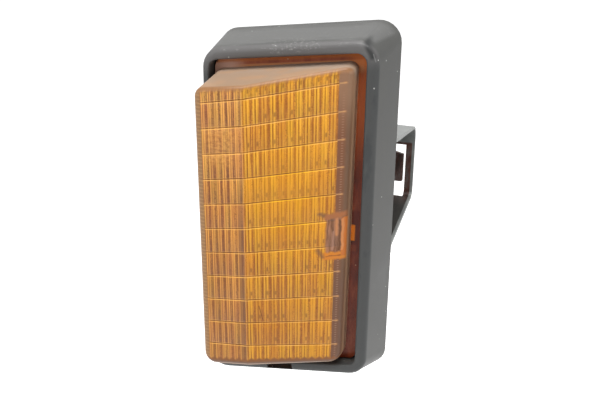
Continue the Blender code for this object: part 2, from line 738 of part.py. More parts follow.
def make_bulb_inside(glass_material, stem_material, lead_material, filament_material):
    """Glass envelope, stem, the two leads and the filament between them."""
    inner = globe_side(BULB_GLASS_WALL)
    outer = globe_side(0.0)
    turned("bulb_glass", outer + inner[::-1], SOCKET_X, SOCKET_Z, glass_material)

    foot = BULB_RIM_Y + BULB_NECK_DEPTH - 2 * FIT_GAP
    stem_tip = foot - STEM_HEIGHT
    flare = BULB_NECK_DIAMETER / 2 - BULB_GLASS_WALL - FIT_GAP
    turned("bulb_stem", [
        (0.0, stem_tip), (STEM_DIAMETER / 2, stem_tip), (STEM_DIAMETER / 2, foot - STEM_HEIGHT / 2),
        (flare, foot - STEM_HEIGHT / 6), (flare, foot), (0.0, foot)],
        SOCKET_X, SOCKET_Z, stem_material)

    lead_foot = stem_tip - FIT_GAP
    lead_tip = lead_foot - LEAD_LENGTH
    root = STEM_DIAMETER / 2 - LEAD_DIAMETER
    for name, side in (("bulb_lead_left", -1), ("bulb_lead_right", 1)):
        path = [(SOCKET_X + side * root, lead_foot, SOCKET_Z),
                (SOCKET_X + side * root, lead_foot - LEAD_LENGTH / 4, SOCKET_Z),
                (SOCKET_X + side * LEAD_SPREAD / 2, lead_tip, SOCKET_Z)]
        wire(name, path, LEAD_DIAMETER, lead_material)

    axis_y = lead_tip - FIT_GAP - FILAMENT_COIL / 2 - FILAMENT_WIRE / 2
    points = []
    per_turn = 8
    for i in range(FILAMENT_TURNS * per_turn + 1):
        angle = 2 * math.pi * i / per_turn
        x = SOCKET_X + LEAD_SPREAD * (i / (FILAMENT_TURNS * per_turn) - 0.5)
        points.append((x, axis_y + FILAMENT_COIL / 2 * math.cos(angle),
                       SOCKET_Z + FILAMENT_COIL / 2 * math.sin(angle)))
    wire("bulb_filament", points, FILAMENT_WIRE, filament_material, sides=0)


def make_sleeve(material):
    """Pressed sleeve with a collar and two bayonet slots shaped like a J."""
    collar_back = FLOOR_Y - FIT_GAP
    collar_front = collar_back - COLLAR_THICKNESS
    sleeve = turned("socket_sleeve", [
        (SLEEVE_INNER, collar_front), (COLLAR_RADIUS, collar_front), (COLLAR_RADIUS, collar_back),
        (SLEEVE_OUTER, collar_back), (SLEEVE_OUTER, SLEEVE_END_Y), (SLEEVE_INNER, SLEEVE_END_Y)],
        SOCKET_X, SOCKET_Z, material, closed=True)
    half = PIN_DIAMETER / 2 + FIT_GAP
    entries = []
    turns = []
    for side in (-1, 1):
        x = sorted((SOCKET_X + side * BULB_BASE_DIAMETER / 3, SOCKET_X + side * 2 * COLLAR_RADIUS))
        entry_z = SOCKET_Z + side * SLOT_TURN
        z = sorted((SOCKET_Z - side * half, entry_z + side * half))
        entries.append(box("entry", x, (collar_front - COLLAR_THICKNESS, PIN_Y),
                           (entry_z - half, entry_z + half)))
        turns.append(box("turn", x, (PIN_Y - half, PIN_Y + half), z))
    boolean(sleeve, "DIFFERENCE", joined("slot_entries", entries))
    boolean(sleeve, "DIFFERENCE", joined("slot_turns", turns))
    return sleeve


def make_contact_stack(insulator_material, plunger_material, spring_material):
    """Plunger, the disc that guides it and the spring that pushes it."""
    hole = PLUNGER_STEM / 2 + FIT_GAP
    disc = SLEEVE_INNER - FIT_GAP
    turned("socket_insulator", [
        (hole, INSULATOR_Y), (disc, INSULATOR_Y), (disc, INSULATOR_END_Y), (hole, INSULATOR_END_Y)],
        SOCKET_X, SOCKET_Z, insulator_material, closed=True)
    stem_end = INSULATOR_END_Y + PLUNGER_TAIL
    head_back = PLUNGER_Y + PLUNGER_HEAD_THICKNESS
    turned("socket_plunger", [
        (0.0, PLUNGER_Y), (PLUNGER_HEAD / 2, PLUNGER_Y), (PLUNGER_HEAD / 2, head_back),
        (PLUNGER_STEM / 2, head_back), (PLUNGER_STEM / 2, stem_end), (0.0, stem_end)],
        SOCKET_X, SOCKET_Z, plunger_material)

    first = INSULATOR_END_Y + FIT_GAP + SPRING_WIRE / 2
    last = LIVE_Y - FIT_GAP - SPRING_WIRE / 2
    points = []
    per_turn = 12
    for i in range(SPRING_TURNS * per_turn + 1):
        angle = 2 * math.pi * i / per_turn
        y = first + (last - first) * i / (SPRING_TURNS * per_turn)
        points.append((SOCKET_X + SPRING_DIAMETER / 2 * math.cos(angle), y,
                       SOCKET_Z + SPRING_DIAMETER / 2 * math.sin(angle)))
    wire("socket_spring", points, SPRING_WIRE, spring_material)


def blade(name, front, z, material):
    """Flat blade with a latching hole, which leaves the tower to the rear."""
    tip = TOWER_BACK_Y + BLADE_REACH
    half_x = BLADE_WIDTH / 2
    half_z = BLADE_THICKNESS / 2
    strip = box(name, (SOCKET_X - half_x, SOCKET_X + half_x), (front, tip),
                (z - half_z, z + half_z), material)

    def build(shape):
        bmesh.ops.create_cone(
            shape, cap_ends=True, segments=ROUND_STEPS // 2, radius1=BLADE_HOLE / 2,
            radius2=BLADE_HOLE / 2, depth=2 * BLADE_WIDTH,
            matrix=Matrix.Translation((SOCKET_X, tip - BLADE_WIDTH / 2, z)))
    boolean(strip, "DIFFERENCE", add_object("blade_hole", mesh_from("blade_hole", build)))
    return strip


def make_terminals(material_live, material_earth):
    """Live blade under the spring, and the earth blade behind the sleeve."""
    live = blade("terminal_live", LIVE_Y + BLADE_THICKNESS / 2, SOCKET_Z, material_live)
    half = LIVE_FOOT / 2
    foot = box("live_foot", (SOCKET_X - half, SOCKET_X + half), (LIVE_Y, LIVE_Y + BLADE_THICKNESS),
               (SOCKET_Z - half, SOCKET_Z + half))
    boolean(live, "UNION", foot)
    blade("terminal_earth", SLEEVE_END_Y + FIT_GAP, EARTH_Z, material_earth)


def make_clip(material):
    """Spring strap, bent from one strip, with a window and its tongue."""
    foot_y = CLIP_FACE_Y + CLIP_SHEET / 2
    right = CLIP_RIGHT
    left = right - CLIP_WIDTH
    corners = [(foot_y, CLIP_TOP_FRONT_Z + CLIP_FOOT_HEIGHT), (foot_y, CLIP_TOP_FRONT_Z),
               (CLIP_BACK_Y, CLIP_TOP_BACK_Z), (CLIP_BACK_Y, CLIP_BOTTOM_BACK_Z),
               (foot_y, CLIP_BOTTOM_FRONT_Z), (foot_y, CLIP_BOTTOM_FRONT_Z - CLIP_LIP)]
    radii = (0, CLIP_FOOT_BEND, CLIP_TOP_BEND, CLIP_BOTTOM_BEND, CLIP_FOOT_BEND, 0)
    path = [(left, y, z) for y, z in rounded(corners, radii, BEND_STEPS)]
    clip = sheet("spring_clip", path, (right - left, 0.0, 0.0), material)

    window_left = CLIP_WINDOW_X - CLIP_WINDOW_WIDTH / 2
    window_right = CLIP_WINDOW_X + CLIP_WINDOW_WIDTH / 2
    behind = CLIP_BACK_Y + CLIP_TOP_BEND
    window = box("clip_window", (window_left, window_right),
                 (CLIP_BACK_Y - CLIP_BOTTOM_BEND, behind),
                 (CLIP_WINDOW_BOTTOM, CLIP_WINDOW_TOP))
    trim = box("clip_trim", (left + CLIP_FOOT_WIDTH, right + CLIP_SHEET),
               (CLIP_FACE_Y - CLIP_SHEET, CLIP_FACE_Y + 2 * CLIP_SHEET),
               (CLIP_TOP_FRONT_Z + 2 * CLIP_FOOT_BEND, CLIP_TOP_FRONT_Z + 2 * CLIP_FOOT_HEIGHT))
    holes = [cylinder("hole", RIVET_SHANK + 2 * FIT_GAP,
                      (CLIP_FACE_Y - CLIP_SHEET, CLIP_FACE_Y + 2 * CLIP_SHEET), RIVET_X, z)
             for z in rivet_heights()]
    boolean(clip, "DIFFERENCE", window)
    boolean(clip, "UNION", tongue(window_left, window_right - TONGUE_GAP))
    boolean(clip, "DIFFERENCE", trim)
    boolean(clip, "DIFFERENCE", joined("clip_holes", holes))
    return smooth(clip)


def tongue(left, right):
    """Bowed tongue that springs from the left side of the clip's window."""
    root = left - CLIP_SHEET
    corners = [(root, CLIP_BACK_Y), ((root + right) / 2, CLIP_BACK_Y + 2 * TONGUE_BOW),
               (right, CLIP_BACK_Y)]
    bow = rounded(corners, (0, (right - root) / 2, 0), 2 * BEND_STEPS)
    path = [(x, y, TONGUE_BOTTOM) for x, y in bow]
    leaf = sheet("tongue", path, (0.0, 0.0, TONGUE_TOP - TONGUE_BOTTOM))
    cut = box("tongue_cut", (-CLIP_WIDTH, CLIP_WIDTH), (0.0, 2 * CLIP_DEPTH), (-CLIP_WIDTH, 0.0))
    cut.location = (left, 0.0, TONGUE_BOTTOM)
    cut.rotation_euler = (0.0, -TONGUE_SLANT, 0.0)
    boolean(leaf, "DIFFERENCE", cut)
    return leaf


def sheet(name, path, travel, material=None):
    """Sheet metal: a path swept along a straight travel and thickened."""
    def build(shape):
        verts = [shape.verts.new(point) for point in path]
        edges = [shape.edges.new(pair) for pair in zip(verts, verts[1:])]
        swept_part = bmesh.ops.extrude_edge_only(shape, edges=edges)["geom"]
        moved = [item for item in swept_part if isinstance(item, bmesh.types.BMVert)]
        bmesh.ops.translate(shape, vec=travel, verts=moved)
    obj = add_object(name, mesh_from(name, build), material)
    solid = obj.modifiers.new("Sheet", "SOLIDIFY")
    solid.thickness = CLIP_SHEET
    solid.offset = 0.0
    solid.use_even_offset = True
    return obj


def make_rivets(material):
    """Two domed rivets that hold the clip's foot to the tub's floor."""
    inner = FLOOR_Y - FIT_GAP
    outer = CLIP_FACE_Y + CLIP_SHEET + FIT_GAP
    for name, z in zip(("clip_rivet_lower", "clip_rivet_upper"), rivet_heights()):
        turned(name, [
            (0.0, inner - RIVET_HEAD_THICKNESS), (RIVET_HEAD / 3, inner - RIVET_HEAD_THICKNESS),
            (RIVET_HEAD / 2, inner - RIVET_HEAD_THICKNESS / 2), (RIVET_HEAD / 2, inner),
            (RIVET_SHANK / 2, inner), (RIVET_SHANK / 2, outer), (RIVET_HEAD / 2, outer),
            (RIVET_HEAD / 2, outer + RIVET_HEAD_THICKNESS / 2),
            (RIVET_HEAD / 3, outer + RIVET_HEAD_THICKNESS), (0.0, outer + RIVET_HEAD_THICKNESS)],
            RIVET_X, z, material, steps=ROUND_STEPS // 2)


def centre_model():
    """Hang every shape from an empty that puts the lamp's middle at the origin."""
    middle = bpy.data.objects.new("lamp_middle", None)
    bpy.data.collections[COLLECTION].objects.link(middle)
    middle.location = (MIDDLE_X, MIDDLE_Y, MIDDLE_Z)
    for obj in bpy.data.objects:
        if obj is not middle:
            obj.parent = middle


def main():
    clear_scene()
    make_collection(COLLECTION)
    make_collection(CUTTERS)
    make_housing(make_material("housing_black", (0.10, 0.10, 0.098), 0.50))
    make_lens(make_material("lens_amber", (0.80, 0.36, 0.05), 0.15, transmission=0.6))
    make_ring("lens_seal", FLANGE_INSET, SEAL_WIDTH, SEAL_FRONT_Y, SEAL_BACK_Y,
              make_material("seal_foam", (0.05, 0.05, 0.05), 0.9))
    gasket_y = PANEL_Y - GASKET_THICKNESS
    make_ring("panel_gasket", SKIRT_WALL + FIT_GAP, GASKET_WIDTH, gasket_y, PANEL_Y,
              make_material("gasket_foam", (0.04, 0.04, 0.04), 0.95),
              flare=(flare_at(gasket_y), 1.0))
    make_reflector(make_material("reflector_bright", (0.75, 0.75, 0.76), 0.12, metallic=1.0))
    make_bulb_base(make_material("bulb_brass", (0.72, 0.56, 0.30), 0.30, metallic=1.0))
    make_bulb_end(make_material("bulb_vitrite", (0.02, 0.02, 0.02), 0.2),
                  make_material("bulb_solder", (0.6, 0.6, 0.6), 0.45, metallic=1.0))
    make_bulb_inside(make_material("bulb_clear_glass", (0.95, 0.96, 0.96), 0.03, transmission=1.0),
                     make_material("stem_glass", (0.9, 0.92, 0.92), 0.08, transmission=0.9),
                     make_material("lead_nickel", (0.62, 0.60, 0.56), 0.3, metallic=1.0),
                     make_material("filament_tungsten", (0.25, 0.25, 0.26), 0.4, metallic=1.0))
    make_sleeve(make_material("sleeve_plated", (0.70, 0.69, 0.66), 0.28, metallic=1.0))
    make_contact_stack(make_material("insulator_phenolic", (0.35, 0.18, 0.08), 0.6),
                       make_material("plunger_brass", (0.74, 0.58, 0.31), 0.28, metallic=1.0),
                       make_material("spring_steel", (0.55, 0.55, 0.56), 0.3, metallic=1.0))
    make_terminals(make_material("live_brass", (0.72, 0.57, 0.32), 0.32, metallic=1.0),
                   make_material("earth_brass", (0.72, 0.57, 0.32), 0.32, metallic=1.0))
    make_clip(make_material("clip_steel", (0.50, 0.49, 0.50), 0.38, metallic=1.0))
    make_rivets(make_material("rivet_steel", (0.60, 0.60, 0.60), 0.35, metallic=1.0))
    centre_model()


if __name__ == "__main__":
    main()
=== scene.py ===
"""Looks of the side turn signal lamp, laid out as a Blender add-on.

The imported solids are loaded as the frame. The lens and its flange are modelled
anew over the lens's solid, the housing and the spring clip are smooth copies of
their solids, and every other piece gets its finish. X is the width, Y runs from
the lens to the rear, Z is up.
"""

import math

import bmesh
import bpy
from mathutils import Matrix, Vector


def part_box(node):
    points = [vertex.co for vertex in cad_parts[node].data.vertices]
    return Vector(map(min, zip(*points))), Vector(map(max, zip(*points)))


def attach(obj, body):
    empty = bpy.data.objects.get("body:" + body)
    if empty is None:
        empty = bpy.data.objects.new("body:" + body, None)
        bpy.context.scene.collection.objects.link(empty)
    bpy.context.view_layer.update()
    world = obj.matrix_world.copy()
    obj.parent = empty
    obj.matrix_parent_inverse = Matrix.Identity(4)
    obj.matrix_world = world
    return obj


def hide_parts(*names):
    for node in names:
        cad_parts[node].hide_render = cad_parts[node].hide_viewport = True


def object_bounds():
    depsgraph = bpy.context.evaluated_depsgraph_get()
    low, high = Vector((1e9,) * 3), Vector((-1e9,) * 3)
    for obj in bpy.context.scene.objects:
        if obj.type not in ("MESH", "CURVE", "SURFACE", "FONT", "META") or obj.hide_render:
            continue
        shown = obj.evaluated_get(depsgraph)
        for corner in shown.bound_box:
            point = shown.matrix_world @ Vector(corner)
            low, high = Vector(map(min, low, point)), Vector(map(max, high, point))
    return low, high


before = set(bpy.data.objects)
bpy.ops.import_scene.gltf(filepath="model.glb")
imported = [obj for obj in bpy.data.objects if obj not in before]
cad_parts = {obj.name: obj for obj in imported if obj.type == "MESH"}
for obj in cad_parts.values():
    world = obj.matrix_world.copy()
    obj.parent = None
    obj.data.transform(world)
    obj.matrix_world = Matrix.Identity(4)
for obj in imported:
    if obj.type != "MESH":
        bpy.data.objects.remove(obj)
CAD_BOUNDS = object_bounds()

bl_info = {
    "name": "Side turn signal lamp",
    "version": (1, 0, 0),
    "blender": (4, 5, 0),
    "location": "View3D > Sidebar > Lamp",
    "description": "Models and finishes a side turn signal lamp over its solids",
    "category": "Object",
}

MM = 0.001

# The photograph's frame and the place that it was taken from
SENSOR_WIDTH = 36.0
PHOTO_FOCAL = 59.94
NEAREST_SEEN = 10 * MM
CAMERA_PLACE = (0.065696, -0.22462, 0.095487)
CAMERA_AZIMUTH = math.radians(16.96)
CAMERA_ELEVATION = math.radians(22.41)
CAMERA_ROLL = math.radians(0.92)

# Sizes are told from the middle of the lens's flange, which lies here
MIDDLE = Vector((-0.7, 0.0, 1.108)) * MM

# Outline of the lens and its flange, whose top and bottom rise to the right
RISE = math.tan(math.radians(7.5))
LENS_LOW, LENS_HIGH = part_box("lens")
CREST_Y = LENS_LOW.y
FLANGE_BACK_Y = LENS_HIGH.y
FLANGE_DEPTH = 1.8 * MM
FLANGE_FRONT_Y = FLANGE_BACK_Y - FLANGE_DEPTH
FLANGE_LEFT = -18.65 * MM
FLANGE_RIGHT = 17.65 * MM
FLANGE_HALF_HEIGHT = 38.87 * MM
FLANGE_CORNER = 1.9 * MM
FLANGE_EDGE = 0.25 * MM

# The wedge of the lens: a level crest at the left and a slope down to the right
BASE_LEFT = -17.65 * MM
CREST_LEFT = -16.4 * MM
LENS_RIGHT = 15.25 * MM
FOLD_X = -5.25 * MM
TOE_Y = CREST_Y + 13.0 * MM
SLOPE = (TOE_Y - CREST_Y) / (LENS_RIGHT - FOLD_X)
BASE_TOP = 36.55 * MM
BASE_BOTTOM = -38.17 * MM
TOP_DROP = 0.3 * MM
TOE_DROP = -0.1 * MM
BOTTOM_RISE = 5.9 * MM
TOE_RISE = 0.3 * MM
BASE_LIFT = 0.5 * MM

# Roundings of the wedge: its corners by side and level, its rim and its fold
CORNERS = ((-1, 1, 2.0 * MM), (1, 1, 1.9 * MM), (-1, -1, 3.0 * MM), (1, -1, 3.2 * MM))
CORNER_BEYOND = 14.0 * MM
RIM_RADIUS = 1.2 * MM
FOLD_RADIUS = 0.35 * MM
SHARP_ANGLE = 0.3

# Flutes: six on the crest, counted to the left of the fold, and the rest on the slope
CREST_PITCH = 1.55 * MM
CREST_FLUTES = 6
SLOPE_PITCH = 1.62 * MM
SLOPE_FLUTES = 11
FLUTE_END_X = FOLD_X + SLOPE_FLUTES * SLOPE_PITCH
FLUTE_CUTS = 4
FLUTE_FULLNESS = 0.8

# Grooves: place across, height of the first one and pitch, at the left, fold and tips
GROOVES = 11
GROOVE_LEFT = (-15.05 * MM, 30.9 * MM, 5.94 * MM)
GROOVE_FOLD = (FOLD_X, 32.66 * MM, 6.02 * MM)
GROOVE_TIP = (14.35 * MM, 35.27 * MM, 6.575 * MM)
GROOVE_HALF = 0.17 * MM

# Sideways drift of the upright lines, as a share of the height
LEFT_DRIFT = -0.0165
RIGHT_DRIFT = 0.011
UNDRIFTED = "undrifted"

# Points closer than this are joined, and cuts keep to points that are closer still
MERGE_GAP = 0.002 * MM
CUT_GAP = 0.0005 * MM
FLAT_ANGLE = math.radians(0.2)

# Tones across one flute, as they look on screen, with the refracted light and shade and the
# highlights of the flutes painted in: place from 0 to 1, red, green, blue
CREST_TONES = (
    (0.0, 226, 160, 80), (0.05, 196, 132, 64), (0.12, 152, 98, 48), (0.2, 204, 142, 66),
    (0.31, 232, 166, 82), (0.4, 198, 136, 66), (0.52, 152, 96, 52), (0.66, 122, 72, 46),
    (0.78, 126, 80, 48), (0.86, 190, 126, 62), (0.92, 244, 178, 90), (0.98, 240, 172, 86))
SLOPE_TONES = (
    (0.0, 154, 94, 34), (0.1, 150, 92, 36), (0.2, 190, 128, 38), (0.28, 226, 168, 58),
    (0.38, 214, 154, 48), (0.43, 200, 136, 34), (0.455, 112, 64, 12), (0.54, 114, 66, 14),
    (0.57, 218, 156, 46), (0.68, 228, 168, 56), (0.8, 200, 136, 42), (0.92, 160, 102, 40))

# Spacing in mm of the fine ticks down the strip and down the lens's left edge
STRIP_TICK = 0.62
LEFT_TICK = 0.9

# Spring clip: its right edge, the middle of its back, and its upper and lower
# legs, each from the foot's Y and Z to the back's
CLIP_RIGHT = 21.4 * MM
CLIP_BACK = 28.6 * MM
CLIP_LEGS = ((2.7 * MM, 15.2 * MM, CLIP_BACK, 11.0 * MM),
             (2.7 * MM, -12.8 * MM, CLIP_BACK, -8.8 * MM))

# Plain finishes inside: name, tone, worn tone, roughness, metallic and nodes
INSIDE_FINISHES = (
    ("brass", (196, 164, 96), (164, 130, 70), 0.3, 1.0,
     ("bulb_base", "socket_plunger", "terminal_live", "terminal_earth")),
    ("nickel", (176, 174, 168), (150, 148, 142), 0.3, 1.0,
     ("bulb_lead_left", "bulb_lead_right", "socket_spring")),
    ("plated_sheet", (200, 198, 192), (172, 168, 160), 0.28, 1.0, ("socket_sleeve",)),
    ("solder", (168, 168, 166), (140, 140, 138), 0.45, 1.0, ("bulb_contact",)),
    ("tungsten", (120, 120, 124), (96, 96, 100), 0.4, 1.0, ("bulb_filament",)),
    ("black_glass", (24, 24, 26), (34, 34, 36), 0.15, 0.0, ("bulb_insulator",)),
    ("phenolic", (128, 78, 44), (100, 58, 32), 0.6, 0.0, ("socket_insulator",)),
    ("bright_dish", (220, 220, 222), (196, 196, 198), 0.12, 1.0, ("reflector",)))

# Studio lamps: name, place and size in metres, power in watts
LAMPS = (("top_light", (0.05, -0.15, 0.75), 0.6, 9.0),
         ("right_light", (0.75, -0.25, 0.25), 0.55, 1.3),
         ("left_light", (-0.55, -0.6, 0.3), 0.5, 2.2))
WORLD_LIGHT = 0.4

# The floor's depth below the lamp, and what it adds to its lit colour so that it looks white
FLOOR_DROP = 150 * MM
FLOOR_RADIUS = 1500 * MM
FLOOR_FILL = 0.6

WHITE = (1.0, 1.0, 1.0, 1.0)


def rgb(red, green, blue):
    """A colour as it looks on screen, from 0 to 255, in Blender's values."""
    def linear(value):
        value /= 255
        return value / 12.92 if value <= 0.04045 else ((value + 0.055) / 1.055) ** 2.4
    return (linear(red), linear(green), linear(blue), 1.0)


def drift(x):
    """Share of the height by which an upright line at x drifts sideways."""
    if x <= FLUTE_END_X:
        return LEFT_DRIFT * min(1.0, (FLUTE_END_X - x) / (FLUTE_END_X - FOLD_X))
    return RIGHT_DRIFT * (x - FLUTE_END_X) / (LENS_RIGHT - FLUTE_END_X)


# Modelling in edit mode

def clear_selection():
    active = bpy.context.view_layer.objects.active
    if active and active.mode != "OBJECT":
        bpy.ops.object.mode_set(mode="OBJECT")
    bpy.ops.object.select_all(action="DESELECT")


def open_mesh(obj):
    """Select one object alone and open it in edit mode."""
    clear_selection()
    obj.select_set(True)
    bpy.context.view_layer.objects.active = obj
    bpy.ops.object.mode_set(mode="EDIT")


def leave_mesh(smooth_angle):
    """Leave edit mode, with faces smooth where they meet at less than an angle."""
    bpy.ops.object.mode_set(mode="OBJECT")
    bpy.ops.object.shade_smooth_by_angle(angle=math.radians(smooth_angle))


def close_mesh(smooth_angle):
    """Move the open mesh to its place and leave edit mode with tidy, outward faces."""
    bpy.ops.mesh.select_all(action="SELECT")
    bpy.ops.mesh.remove_doubles(threshold=MERGE_GAP)
    bpy.ops.mesh.normals_make_consistent(inside=False)
    bpy.ops.transform.translate(value=MIDDLE)
    leave_mesh(smooth_angle)


def pick(obj, kind, test):
    """Select only the edges or faces that a test accepts."""
    bpy.ops.mesh.select_mode(type=kind)
    bpy.ops.mesh.select_all(action="DESELECT")
    shape = bmesh.from_edit_mesh(obj.data)
    for item in shape.edges if kind == "EDGE" else shape.faces:
        if test(item):
            item.select_set(True)
    shape.select_flush_mode()
    bmesh.update_edit_mesh(obj.data)


def cut(obj, test, place, normal):
    """Cut the faces that a test accepts along a plane."""
    pick(obj, "FACE", test)
    bpy.ops.mesh.bisect(plane_co=place, plane_no=normal, threshold=CUT_GAP)


def round_edges(obj, test, radius, segments):
    pick(obj, "EDGE", test)
    bpy.ops.mesh.bevel(offset=radius, segments=segments, affect="EDGES")


def give(obj, material, *nodes, slot=None):
    """Finish a new piece: its material, its body and the solids it stands for."""
    obj.data.materials.clear()
    obj.data.materials.append(material)
    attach(obj, "root")
    if nodes:
        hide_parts(*nodes)


def finish_solids(material, *nodes):
    """Give solids that show as they are their material."""
    for node in nodes:
        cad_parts[node].material_slots[0].material = material


def merged_copy(node, name, smooth_angle):
    """A smooth, closed copy of a solid, whose loose triangles are joined."""
    clear_selection()
    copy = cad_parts[node].copy()
    copy.data = copy.data.copy()
    copy.name = name
    copy.parent = None
    bpy.context.scene.collection.objects.link(copy)
    open_mesh(copy)
    bpy.ops.mesh.select_all(action="SELECT")
    bpy.ops.mesh.customdata_custom_splitnormals_clear()
    bpy.ops.mesh.remove_doubles(threshold=MERGE_GAP)
    bpy.ops.mesh.dissolve_limited(angle_limit=FLAT_ANGLE)
    leave_mesh(smooth_angle)
    return copy


# Shader nodes

class Tree:
    """Short calls that add nodes to a node tree and link them."""

    def __init__(self, data):
        self.data = data

    def add(self, kind, **settings):
        """A new shader node of a kind, with its settings."""
        node = self.data.nodes.new("ShaderNode" + kind)
        for key, value in settings.items():
            setattr(node, key, value)
        return node

    def put(self, socket, value):
        """Link a socket to another, or set its value."""
        if isinstance(value, bpy.types.NodeSocket):
            self.data.links.new(value, socket)
        else:
            socket.default_value = value

    def fill(self, node, *values):
        """Put values into a node's first sockets and return its first output."""
        for socket, value in zip(node.inputs, values):
            self.put(socket, value)
        return node.outputs[0]

    def math(self, operation, *values, clamp=False):
        node = self.add("Math", operation=operation, use_clamp=clamp)
        return self.fill(node, *values)

    def vectors(self, operation, *values):
        """Vector arithmetic: its vector is the first output, its number the second."""
        node = self.add("VectorMath", operation=operation)
        self.fill(node, *values)
        return node.outputs

    def times(self, first, *others):
        """The product of two or more values."""
        for other in others:
            first = self.math("MULTIPLY", first, other)
        return first

    def minus(self, first, second):
        return self.math("SUBTRACT", first, second)

    def linear(self, value, factor, offset):
        """A value times a factor, plus an offset."""
        return self.math("MULTIPLY_ADD", value, factor, offset)

    def mix(self, factor, first, second, blend="MIX"):
        node = self.add("Mix", data_type="RGBA", blend_type=blend)
        for index, value in ((0, factor), (6, first), (7, second)):
            self.put(node.inputs[index], value)
        return node.outputs[2]

    def mix_value(self, factor, first, second):
        node = self.add("Mix", data_type="FLOAT")
        for index, value in ((0, factor), (2, first), (3, second)):
            self.put(node.inputs[index], value)
        return node.outputs[0]

    def tint(self, colour, mask, share, tone):
        """A colour with a share of a tone laid over it where a mask is."""
        return self.mix(self.times(mask, share), colour, tone)

    def layers(self, colour, *layers):
        """A colour under layers, each with a mask, a share, red, green and blue."""
        for mask, share, *tone in layers:
            colour = self.tint(colour, mask, share, rgb(*tone))
        return colour

    def ramp(self, factor, stops):
        """A colour ramp whose stops hold a place, red, green and blue."""
        node = self.add("ValToRGB")
        elements = node.color_ramp.elements
        while len(elements) < len(stops):
            elements.new(1.0)
        for element, (place, *tone) in zip(elements, stops):
            element.position = place
            element.color = rgb(*tone)
        return self.fill(node, factor)

    def fade(self, value, start, end):
        """0 before start and 1 after end, with a smooth step between them."""
        node = self.add("MapRange", interpolation_type="SMOOTHSTEP")
        return self.fill(node, value, start, end, 0.0, 1.0)

    def noise(self, vector, scale, detail=2.0, roughness=0.5):
        unused_w = 0.0
        return self.fill(self.add("TexNoise"), vector, unused_w, scale, detail, roughness)

    def stretched(self, place, stretch, detail=2.0, roughness=0.5):
        """Noise with its own scale along each axis."""
        return self.noise(self.vectors("MULTIPLY", place, stretch)[0], 1.0, detail, roughness)

    def random(self, vector):
        """A random value from 0 to 1 for each vector."""
        return self.fill(self.add("TexWhiteNoise", noise_dimensions="3D"), vector)

    def vector(self, x, y, z):
        return self.fill(self.add("CombineXYZ"), x, y, z)

    def bump(self, height, strength, distance):
        node = self.add("Bump")
        for label, value in (("Strength", strength), ("Distance", distance), ("Height", height)):
            self.put(node.inputs[label], value)
        return node.outputs["Normal"]

    def split(self, place):
        """A vector, whole and as X, Y and Z."""
        parts = self.add("SeparateXYZ")
        self.fill(parts, place)
        return place, *parts.outputs

    def millimetres(self):
        """Place in millimetres from the middle of the flange."""
        place = self.add("TexCoord").outputs["Object"]
        return self.split(self.vectors("MULTIPLY_ADD", place, (1 / MM,) * 3, -MIDDLE / MM)[0])

    def undrifted(self):
        """Place in millimetres before the lens's upright lines drift sideways."""
        node = self.add("Attribute", attribute_name=UNDRIFTED)
        return self.split(node.outputs["Vector"])

    def level(self, x, z):
        """Height in mm with the lean of the outline taken off."""
        return self.minus(z, self.times(x, RISE))

    def spread(self, value, middle, amount):
        """Noise around zero, from a texture's value."""
        return self.times(self.minus(value, middle), amount)

    def band(self, value, low, high, soft):
        """1 between two limits, with soft ends."""
        rise = self.fade(value, low - soft, low + soft)
        fall = self.fade(value, high - soft, high + soft)
        return self.math("SUBTRACT", rise, fall, clamp=True)

    def patch(self, x, z, x_range, z_range, soft):
        """A soft-edged rectangle on the X and Z axes."""
        return self.times(self.band(x, *x_range, soft), self.band(z, *z_range, soft))

    def stroke(self, place, start, end, width, soft):
        """A soft-edged line between two points in mm on the X and Z axes."""
        run = Vector((end[0] - start[0], 0.0, end[1] - start[1]))
        offset = self.vectors("SUBTRACT", place, (start[0], 0.0, start[1]))[0]
        along = self.vectors("DOT_PRODUCT", offset, run / run.length_squared)["Value"]
        share = self.math("ADD", along, 0.0, clamp=True)
        nearest = self.vectors("MULTIPLY", run, self.vector(share, share, share))[0]
        gap = self.vectors("DISTANCE", offset, nearest)["Value"]
        return self.fade(gap, width / 2 + soft, width / 2 - soft)

    def ticks(self, z, pitch, start):
        """A row of soft ticks up the Z axis."""
        wave = self.math("SINE", self.times(z, 2 * math.pi / pitch))
        return self.fade(wave, start, 0.8)

    def group(self, name, *values):
        """The outputs of a node group, with values in the order of its sockets."""
        node = self.add("Group", node_tree=bpy.data.node_groups[name])
        self.fill(node, *values)
        return node.outputs

    def finish(self, values):
        """Link the named sockets of a material's shader, or set their values."""
        shader = self.data.nodes["Principled BSDF"]
        for label, value in values.items():
            self.put(shader.inputs[label], value)


def new_material(name):
    """A material and the tree of its nodes."""
    material = bpy.data.materials.new(name)
    material.use_nodes = True
    return material, Tree(material.node_tree)


def new_group(name, inputs, outputs):
    """A shader node group with named sockets, and its inner ends."""
    group = bpy.data.node_groups.new(name, "ShaderNodeTree")
    for label, kind, default in inputs:
        socket = group.interface.new_socket(label, in_out="INPUT", socket_type="NodeSocket" + kind)
        if default is not None:
            socket.default_value = default
    for label, kind in outputs:
        group.interface.new_socket(label, in_out="OUTPUT", socket_type="NodeSocket" + kind)
    given, result = (group.nodes.new("NodeGroup" + end) for end in ("Input", "Output"))
    return Tree(group), given.outputs, result.inputs


def make_speckle_group():
    """Small pale specks of dust, scattered by cells."""
    tree, given, result = new_group(
        "Dust specks", [("Place", "Vector", None), ("Cells", "Float", 1.0),
                        ("Share", "Float", 0.05), ("Size", "Float", 0.2)], [("Mask", "Float")])
    cells = tree.add("TexVoronoi", feature="F1")
    tree.put(cells.inputs["Vector"], given["Place"])
    tree.put(cells.inputs["Scale"], given["Cells"])
    chosen = tree.math("LESS_THAN", tree.random(cells.outputs["Position"]), given["Share"])
    inside = tree.math("LESS_THAN", cells.outputs["Distance"], given["Size"])
    tree.put(result["Mask"], tree.times(chosen, inside))


